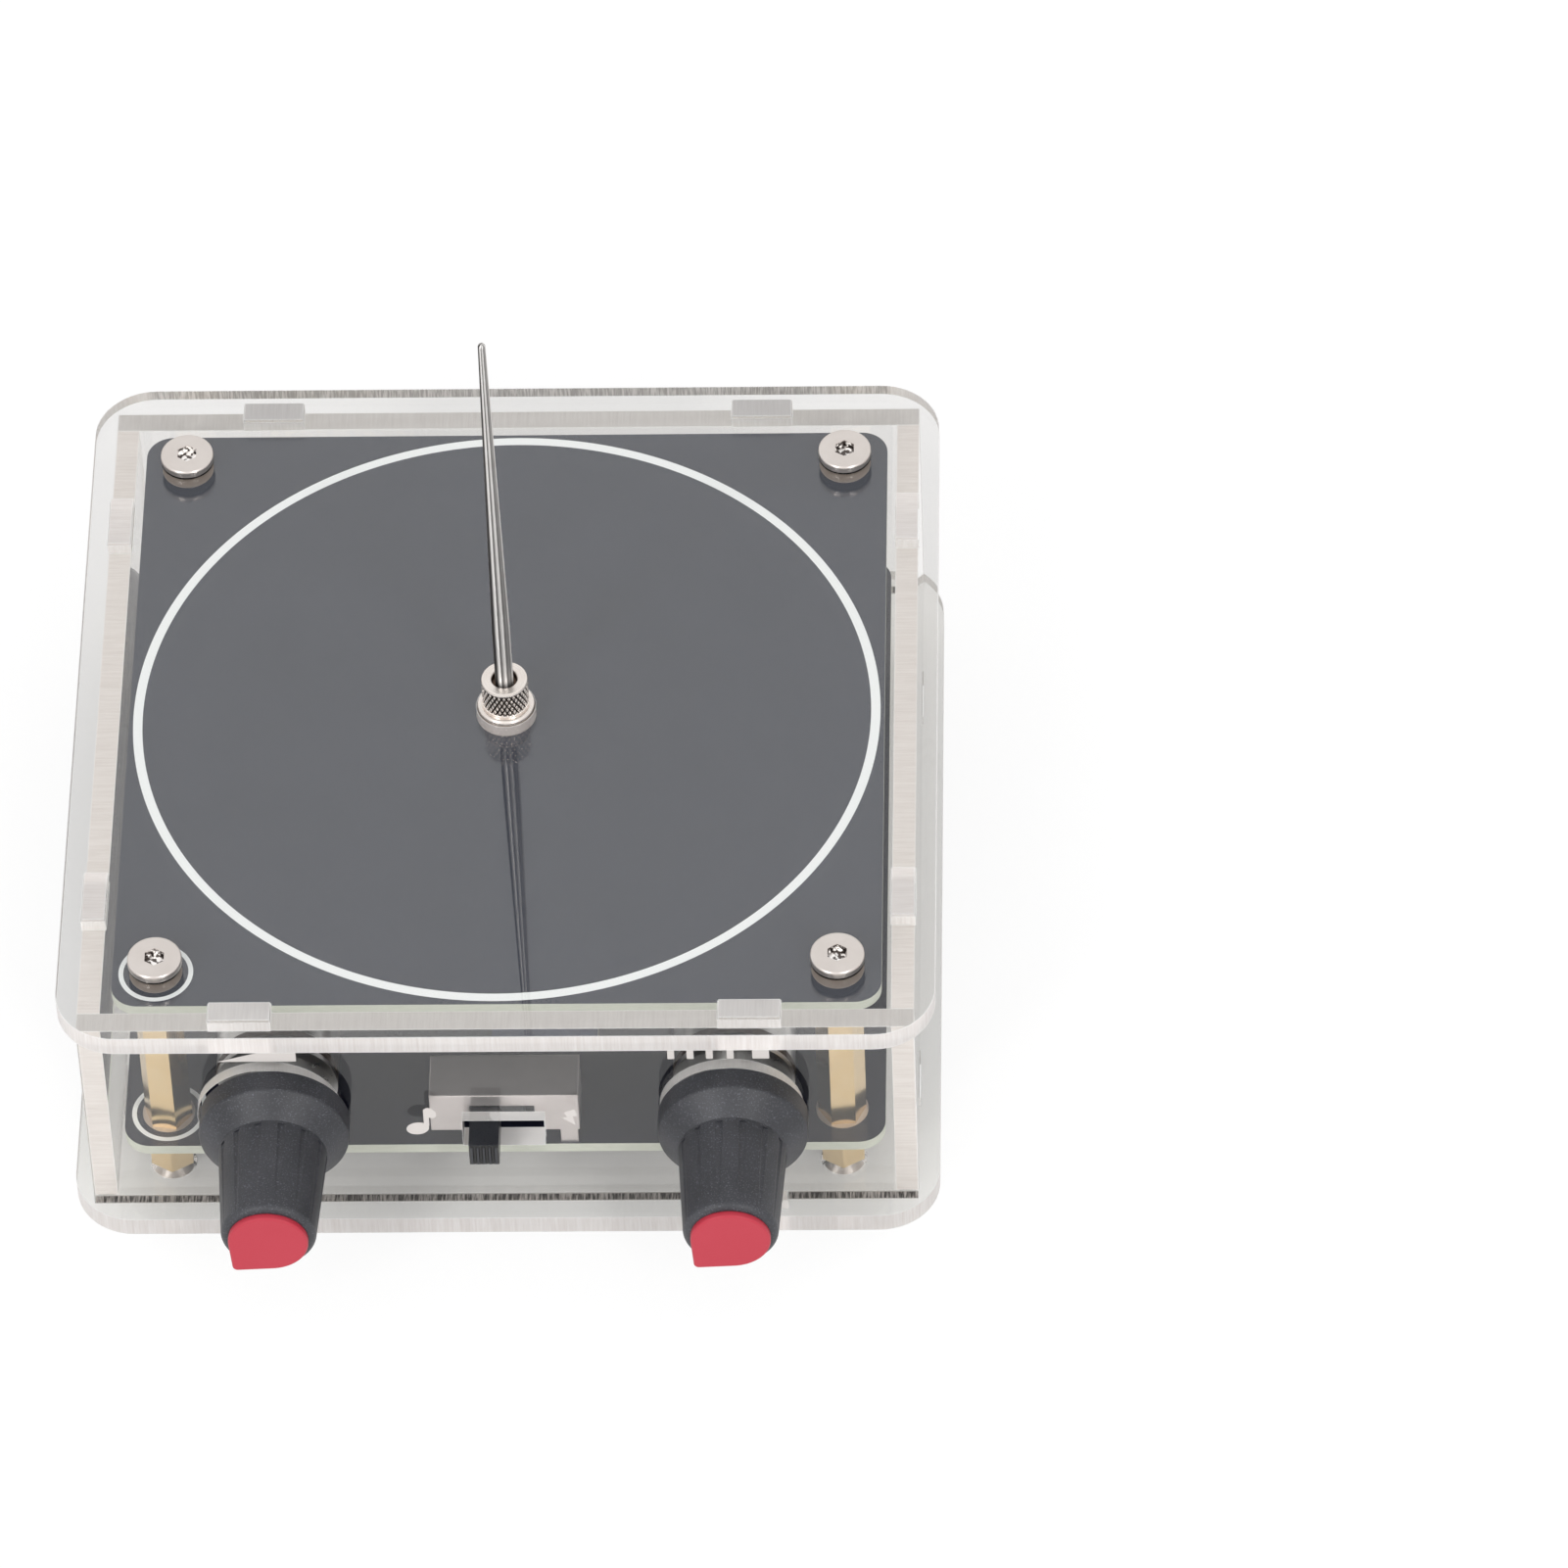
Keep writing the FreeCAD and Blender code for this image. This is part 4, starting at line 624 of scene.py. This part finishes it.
# %% Roll the knurl and put the nut in the place of its plain solid
def knurl_tree():
    """Sinks the points of an upright band along two sets of slanting grooves."""
    tree, source = start_tree("Diamond knurl", "Geometry", (
        "Diamonds round", "Diamond height", "Groove depth", "Band foot", "Band top", "Least radius"))
    where = add(tree, "GeometryNodeInputPosition").outputs[0]
    axes = add(tree, "ShaderNodeSeparateXYZ", {0: where}).outputs
    angle = reckon(tree, "DIVIDE", reckon(tree, "ARCTAN2", axes["Y"], axes["X"]), 2 * math.pi)
    around = reckon(tree, "MULTIPLY", angle, source["Diamonds round"])
    climb = reckon(tree, "SUBTRACT", axes["Z"], source["Band foot"])
    upward = reckon(tree, "DIVIDE", climb, source["Diamond height"])
    ridges = [reckon(tree, "PINGPONG", reckon(tree, "MULTIPLY", reckon(tree, way, around, upward), 2.0), 1.0)
              for way in ("ADD", "SUBTRACT")]
    height = reckon(tree, "MINIMUM", reckon(tree, "MULTIPLY", reckon(tree, "MINIMUM", *ridges), 1.7), 1.0)
    above = reckon(tree, "GREATER_THAN", axes["Z"], source["Band foot"])
    below = reckon(tree, "LESS_THAN", axes["Z"], source["Band top"])
    outward = add(tree, "ShaderNodeCombineXYZ", {"X": axes["X"], "Y": axes["Y"]})
    reach = measure(tree, "LENGTH", outward.outputs[0])
    far = reckon(tree, "GREATER_THAN", reach, source["Least radius"])
    chosen = reckon(tree, "MULTIPLY", reckon(tree, "MULTIPLY", above, below), far)
    sink = reckon(tree, "MULTIPLY", reckon(tree, "SUBTRACT", height, 1.0), source["Groove depth"])
    way = measure(tree, "NORMALIZE", outward.outputs[0])
    move = add(tree, "ShaderNodeVectorMath", {
        0: way, "Scale": reckon(tree, "MULTIPLY", sink, chosen)}, operation="SCALE")
    cut = add(tree, "GeometryNodeSetPosition", {"Geometry": source["Geometry"], "Offset": move.outputs[0]})
    return end_tree(tree, cut.outputs[0], source["Finish"])


knurled_nut = grown("knurled_nut", lathe("nut_blank", nut_profile, steps_round), knurl_tree(), {
    "Diamonds round": float(diamonds_round), "Diamond height": diamond_height * MM, "Groove depth": 0.26 * MM,
    "Band foot": (band_foot + 0.01) * MM, "Band top": (band_top - 0.01) * MM, "Least radius": 3.05 * MM,
    "Finish": knurled_nickel}, "nut")
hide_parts("thumb_nut")

# %% [markdown]
# ## Marks on the front wall
# The controls are told apart by small marks that a laser frosted into the acrylic: a rising ramp for power,
# a row of bars for frequency, a music note and a bolt beside the switch. They are flat shapes, so each is
# an outline filled and given a hair of thickness, which shows the frosting's edge. Words that such a panel
# may carry are left bare.

# %% Outlines of the marks, across and up the front wall in mm
def ellipse(x, z, across, up, tilt, count=28):
    """An outline for the head of the note."""
    points = []
    for i in range(count):
        a = 2 * math.pi * i / count
        u, v = across * math.cos(a), up * math.sin(a)
        points.append((x + u * math.cos(tilt) - v * math.sin(tilt),
                       z + u * math.sin(tilt) + v * math.cos(tilt)))
    return points


def bar(left, right, low, high):
    return [(left, low), (right, low), (right, high), (left, high)]


note_head = ellipse(-10.9, 18.3, 1.5, 1.2, 0.25)
note_stem = [(-10.05, 18.8), (-9.35, 18.8), (-9.35, 20.5), (-8.75, 20.35), (-8.4, 20.8), (-8.4, 21.7),
             (-9.0, 22.4), (-9.6, 22.5), (-10.05, 22.1)]
bolt = [(9.7, 22.1), (10.1, 20.7), (9.45, 20.6), (9.75, 18.8), (8.0, 20.35), (8.7, 20.55), (8.3, 21.4)]
power_ramp = [(-36.2, 32.2), (-26.0, 32.2), (-26.0, 35.6)]
bars = [bar(22.2, 23.1, 32.2, 34.0), bar(24.7, 25.6, 32.2, 34.6), bar(27.2, 28.1, 32.2, 35.0),
        bar(29.9, 30.8, 32.2, 35.3), bar(33.2, 35.4, 32.2, 35.5)]
marks = [note_head, note_stem, bolt, power_ramp, *bars]


def flat_marks(name, outlines, face, thickness):
    """Fills outlines that stand on a front face and thickens them towards the viewer. Every second one is a
    fifth thicker, so that two outlines that overlap share no plane."""
    mesh, shape = bpy.data.meshes.new(name), bmesh.new()
    for number, outline in enumerate(outlines):
        raised = face - thickness * (1 + 0.2 * (number % 2))
        base, top = ([shape.verts.new((x * MM, y * MM, z * MM)) for x, z in outline] for y in (face, raised))
        shape.faces.new(base)
        shape.faces.new(top)
        for i in range(len(outline)):
            shape.faces.new((base[i - 1], base[i], top[i], top[i - 1]))
    bmesh.ops.recalc_face_normals(shape, faces=shape.faces)
    shape.to_mesh(mesh)
    shape.free()
    return mesh


frost = moulded("acrylic_frosted", "#d3cdc9", "#e2dedb", 0.7, 0.2, 0.02)
front_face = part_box("front_wall")[0].y / MM
keep("front_marks", flat_marks("marks", marks, front_face, 0.03), "case", frost)
print("marks:", len(marks))

# %% [markdown]
# ## Wound wires
# The choke and the feedback transformer are ferrite or iron-powder rings wound by hand with enamelled
# copper wire. A sleeve with a stripe pattern would pass from afar. Real turns that hug the ring and end in
# two legs are a path like any other, so the same sweep tree makes them, and only the path is worked out
# turn by turn.

# %% Wind both rings
def winding(node, core, turns, wire, gap_degrees):
    """A wire path round a flat ring, with its two legs down to the board."""
    low, high = (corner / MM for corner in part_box(core))
    x, y = (low.x + high.x) / 2, (low.y + high.y) / 2
    outer = (high.x - low.x) / 2
    inner = outer / 2
    middle, half_width = (outer + inner) / 2, (outer - inner) / 2 + wire / 2
    centre_z, half_height = (low.z + high.z) / 2, (high.z - low.z) / 2 + wire / 2
    path, each = [], 24
    for i in range(turns * each + 1):
        share = i / (turns * each)
        about = math.radians(gap_degrees / 2 + share * (360 - gap_degrees))
        spin = 2 * math.pi * share * turns
        c, s = math.cos(spin), math.sin(spin)
        across = half_width * math.copysign(abs(c) ** 0.35, c)
        up = half_height * math.copysign(abs(s) ** 0.35, s)
        out = middle + across
        path.append((x + out * math.cos(about), y + out * math.sin(about), centre_z + up))
    foot = driver_top - 1.2
    first, last = path[0], path[-1]
    legs = [[(p[0], p[1], foot), (p[0], p[1], centre_z - half_height)] for p in (first, last)]
    path = legs[0] + path[1:-1] + legs[1][::-1]
    wound = grown(node + "_wire", path_mesh(node + "_path", [(path, False)]), wire_sweep,
                  {"Width": wire * 0.96 * MM, "Height": wire * MM, "Finish": wire_copper}, "case")
    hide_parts(node)


winding("choke_winding", "choke_core", 14, 1.0, 50)
winding("feedback_winding", "feedback_core", 9, 0.6, 70)

# %% [markdown]
# ## Solder joints
# Each lead that passes the lower board ends on its underside in a small cone of solder, concave because the
# molten metal climbs the lead. The joints could be modelled one by one. Here a Geometry Nodes tree builds
# one joint from two short cones and repeats it, and the places are read from the feet of the leads
# themselves.

# %% Find the feet of the leads and grow a joint on each
def lead_feet(names):
    """The middles of the groups of lowest points of some nodes, in mm."""
    groups = []
    for name in names:
        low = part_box(name)[0].z + 0.1 * MM
        for point in [v.co / MM for v in nodes[name].data.vertices if v.co.z < low]:
            near = [g for g in groups if (g[0] - point).length < 1.6]
            if near:
                near[0].append(point)
            else:
                groups.append([point])
    return [sum(g, Vector()) / len(g) for g in groups]


def joint_tree():
    """A tree that sets a joint of two cones, wide end up, at each point that comes in."""
    tree, source = start_tree("Solder joints", "Feet", (
        "Wide radius", "Waist radius", "Tip radius", "Wide height", "Tip height"))
    tip = add(tree, "GeometryNodeMeshCone", {
        "Vertices": 14, "Radius Bottom": source["Tip radius"], "Radius Top": source["Waist radius"],
        "Depth": source["Tip height"]})
    wide = add(tree, "GeometryNodeMeshCone", {
        "Vertices": 14, "Radius Bottom": source["Waist radius"], "Radius Top": source["Wide radius"],
        "Depth": source["Wide height"]})
    lift = add(tree, "ShaderNodeCombineXYZ", {"Z": source["Tip height"]})
    raised = add(tree, "GeometryNodeTransform", {
        "Geometry": wide.outputs["Mesh"], "Translation": lift.outputs[0]})
    both = add(tree, "GeometryNodeJoinGeometry", {0: tip.outputs["Mesh"]})
    tree.links.new(raised.outputs[0], both.inputs[0])
    smooth = add(tree, "GeometryNodeSetShadeSmooth", {"Geometry": both.outputs[0]})
    spread = add(tree, "GeometryNodeInstanceOnPoints", {
        "Points": source["Feet"], "Instance": smooth.outputs[0]})
    return end_tree(tree, spread.outputs[0], source["Finish"])


driver_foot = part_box("driver_board")[0].z / MM
feet = [Vector((f.x, f.y, driver_foot - 0.8)) * MM for f in lead_feet((
    "chip_legs", "switch_pins", "inlet_tabs", "power_pot_pins", "frequency_pot_pins", "power_transistors",
    "regulator", "film_capacitors", "resistors"))]
feet_mesh = bpy.data.meshes.new("lead_feet")
feet_mesh.from_pydata(feet, [], [])
grown("solder_joints", feet_mesh, joint_tree(), {
    "Wide radius": 0.85 * MM, "Waist radius": 0.5 * MM, "Tip radius": 0.33 * MM, "Wide height": 0.25 * MM,
    "Tip height": 0.56 * MM, "Finish": tin}, "case")
print("joints:", len(feet))

# %% [markdown]
# ## Prints and tops on the lower board
# A board's maker prints the outline of each part where it is to be set, and the parts carry marks of their
# own: a can capacitor shows its bare aluminium top inside the rolled edge of its sleeve, with a scored
# cross that lets gas out, and a resistor carries four colour rings. The outlines use the sweep tree again.
# The tops and rings are turned, since each is round about an axis.

# %% Outlines under the parts
def loose_boxes(name):
    """The low and high corners in mm of the loose parts of a node's mesh, in one fixed order."""
    shape, boxes = bmesh.new(), []
    shape.from_mesh(nodes[name].data)
    bmesh.ops.remove_doubles(shape, verts=shape.verts, dist=0.001 * MM)
    left = set(shape.verts)
    while left:
        found, border = set(), {left.pop()}
        while border:
            found |= border
            border = {e.other_vert(v) for v in border for e in v.link_edges} - found
        left -= found
        places = [v.co / MM for v in found]
        boxes.append((Vector(map(min, zip(*places))), Vector(map(max, zip(*places)))))
    shape.free()
    return sorted(boxes, key=lambda corners: corners[0][:])


ink_height = driver_top + ink_thickness / 2
outlines = []
boxed = {"control_chips": 1.1, "film_capacitors": 0.6, "resistors": 0.5, "heat_sink": 0.6}
circled = {"bulk_capacitors": 0.7, "choke_core": 1.6, "feedback_core": 1.2}
for name, margin in boxed.items():
    for low, high in loose_boxes(name):
        x0, y0, x1, y1 = low.x - margin, low.y - margin, high.x + margin, high.y + margin
        outlines.append(([(x, y, ink_height) for x, y in ((x0, y0), (x1, y0), (x1, y1), (x0, y1))], True))
for name, margin in circled.items():
    for low, high in loose_boxes(name):
        middle, radius = (low + high) / 2, (high.x - low.x) / 2 + margin
        outlines.append((ring_points(middle.x, middle.y, ink_height, radius, 48), True))
grown("printed_outlines", path_mesh("outline_paths", outlines), line_sweep,
      {"Width": 0.2 * MM, "Height": ink_thickness * MM, "Finish": ink}, "case")

# %% Tops of the can capacitors and rings of the resistors
def gather(name, meshes, body, finish):
    """Makes one piece of several meshes."""
    mesh, shape = bpy.data.meshes.new(name), bmesh.new()
    for part in meshes:
        shape.from_mesh(part)
    shape.to_mesh(mesh)
    shape.free()
    return keep(name, mesh, body, finish)


tops, crosses = [], []
for low, high in loose_boxes("bulk_capacitors"):
    middle, radius = (low + high) / 2, (high.x - low.x) / 2 - 1.1
    profile = [(0.05, -0.2), (radius, -0.2), (radius, 0.02), (radius - 0.1, 0.06), (0.05, 0.06)]
    top = lathe("can_top", profile, 48)
    top.transform(Matrix.Translation(Vector((middle.x, middle.y, high.z)) * MM))
    tops.append(top)
    arm, height = radius * 0.62, high.z + 0.07
    centre = Vector((middle.x, middle.y, height))
    for way in (Vector((1, 0, 0)), Vector((0, 1, 0))):
        crosses.append(([centre - way * arm, centre + way * arm], False))
gather("can_tops", tops, "case", aluminium)
grown("can_top_scores", path_mesh("score_paths", crosses), line_sweep,
      {"Width": 0.35 * MM, "Height": 0.02 * MM, "Finish": epoxy}, "case")

# Each ring's colour, its place along the body and how far the body's waist lies below its ends there, in mm
ring_codes = (("brown", "#5b3217", -3.3, 0.0), ("black", "#17171a", -1.0, 0.3),
              ("orange", "#c8621c", 0.5, 0.3), ("gold", "#a5823a", 3.3, 0.0))
for label, code, along, waist in ring_codes:
    rings, lacquer = [], moulded("ring_lacquer_" + label, code, code, 0.4, 0.3, 0.01)
    for low, high in loose_boxes("resistors"):
        middle, end_radius = (low + high) / 2, (high.y - low.y) / 2
        radius = end_radius - waist
        profile = [(radius - 0.1, -0.35), (radius + 0.03, -0.35), (radius + 0.03, 0.35), (radius - 0.1, 0.35)]
        ring = lathe("ring", profile, 40)
        place = Vector((middle.x + along, middle.y, high.z - end_radius)) * MM
        ring.transform(Matrix.Translation(place) @ Matrix.Rotation(math.pi / 2, 4, "Y"))
        rings.append(ring)
    gather("resistor_rings_" + label, rings, "case", lacquer)
print("outlines:", len(outlines), "tops:", len(tops), "ring colours:", len(ring_codes))

# %% [markdown]
# ## Floor, light and camera
# The object is a studio shot on white. The floor and the room are white to the eye and to every mirror or
# pane, and the floor still takes the object's soft shadow. Two large soft lamps give the shapes a bright
# and a shaded side. They aren't seen themselves, since only their light and their glints belong to the
# picture.

# %% White room and white floor
def seen_sharp(tree, rays):
    """1 for rays from the camera, a mirror or a pane, and 0 for the light that the others bring."""
    straight = reckon(tree, "MAXIMUM", rays["Is Camera Ray"], rays["Is Glossy Ray"])
    return reckon(tree, "MAXIMUM", straight, rays["Is Transmission Ray"])


scene = bpy.context.scene
scene.view_settings.view_transform = "Standard"
world = bpy.data.worlds.new("white_room")
scene.world = world
world.use_nodes = True
room = world.node_tree
room.nodes.clear()
strength = between(room, seen_sharp(room, add(room, "ShaderNodeLightPath").outputs), 0.75, 1.0)
shine = add(room, "ShaderNodeBackground", {"Color": colour("#ffffff"), "Strength": strength})
add(room, "ShaderNodeOutputWorld", {"Surface": shine.outputs[0]})

paper = bpy.data.materials.new("white_paper")
paper.use_nodes = True
sheet = paper.node_tree
sheet.nodes.clear()
rays = add(sheet, "ShaderNodeLightPath").outputs
fibres = noise(sheet, pattern_space(sheet), 2.0)
tone = blend(sheet, fibres, colour("#fafafa"), colour("#ffffff"))
matt = add(sheet, "ShaderNodeBsdfDiffuse", {"Color": tone})
glow = add(sheet, "ShaderNodeEmission", {"Color": colour("#ffffff"), "Strength": 1.05})
direct, through = (add(sheet, "ShaderNodeMixShader", {0: glowing, 1: matt.outputs[0], 2: glow.outputs[0]})
                   for glowing in (0.8, 0.1))
shown = add(sheet, "ShaderNodeMixShader", {
    0: rays["Is Transmission Ray"], 1: direct.outputs[0], 2: through.outputs[0]})
chosen = add(sheet, "ShaderNodeMixShader", {
    0: seen_sharp(sheet, rays), 1: matt.outputs[0], 2: shown.outputs[0]})
add(sheet, "ShaderNodeOutputMaterial", {"Surface": chosen.outputs[0]})

floor_mesh = bpy.data.meshes.new("floor")
floor_reach, floor_level = 6.0, -0.0001
floor_corners = [(x * floor_reach, y * floor_reach, floor_level)
                 for x, y in ((-1, -1), (1, -1), (1, 1), (-1, 1))]
floor_mesh.from_pydata(floor_corners, [], [(0, 1, 2, 3)])
floor_mesh.materials.append(paper)
floor = bpy.data.objects.new("floor", floor_mesh)
scene.collection.objects.link(floor)

# %% Two soft lamps
def soft_lamp(name, place, width, height, power):
    """A tall lamp at a place in metres, turned to the object's middle, and hidden from the camera."""
    lamp = bpy.data.lights.new(name, "AREA")
    lamp.shape, lamp.size, lamp.size_y, lamp.energy = "RECTANGLE", width, height, power
    holder = bpy.data.objects.new(name, lamp)
    holder.location = place
    holder.rotation_euler = (Vector((0, 0, 0.03)) - Vector(place)).to_track_quat("-Z", "Y").to_euler()
    holder.visible_camera = holder.visible_transmission = False
    scene.collection.objects.link(holder)
    print(name, "at", place, "m with", power, "W")


soft_lamp("left_lamp", (-0.78, -1.06, 0.9), 0.22, 0.9, 7.0)
soft_lamp("right_lamp", (0.66, -1.12, 0.9), 0.22, 0.9, 6.0)

# %% The camera of the photograph
def camera_turn(yaw, pitch, roll):
    """The camera's turn from its heading, its dip below the horizon and its roll, in degrees."""
    yaw, pitch, roll = (math.radians(a) for a in (yaw, pitch, roll))
    ahead = Vector((math.sin(yaw), math.cos(yaw), 0))
    side = Vector((math.cos(yaw), -math.sin(yaw), 0))
    up = Vector((0, 0, 1))
    look = ahead * math.cos(pitch) - up * math.sin(pitch)
    head = ahead * math.sin(pitch) + up * math.cos(pitch)
    right = side * math.cos(roll) + head * math.sin(roll)
    top = head * math.cos(roll) - side * math.sin(roll)
    return Matrix((right, top, -look)).transposed()


focal_pixels, picture_side = 11808, 1601
lens = bpy.data.cameras.new("studio_camera")
lens.sensor_width = 36.0
lens.lens = focal_pixels / picture_side * lens.sensor_width
lens.clip_start, lens.clip_end = 0.1, 20.0
camera = bpy.data.objects.new("studio_camera", lens)
camera.location = (0.08212, -1.00789, 1.18693)
camera.rotation_euler = camera_turn(-2.6025, 49.0601, -2.3644).to_euler()
scene.collection.objects.link(camera)
scene.camera = camera
print("lens in mm:", round(lens.lens, 1))
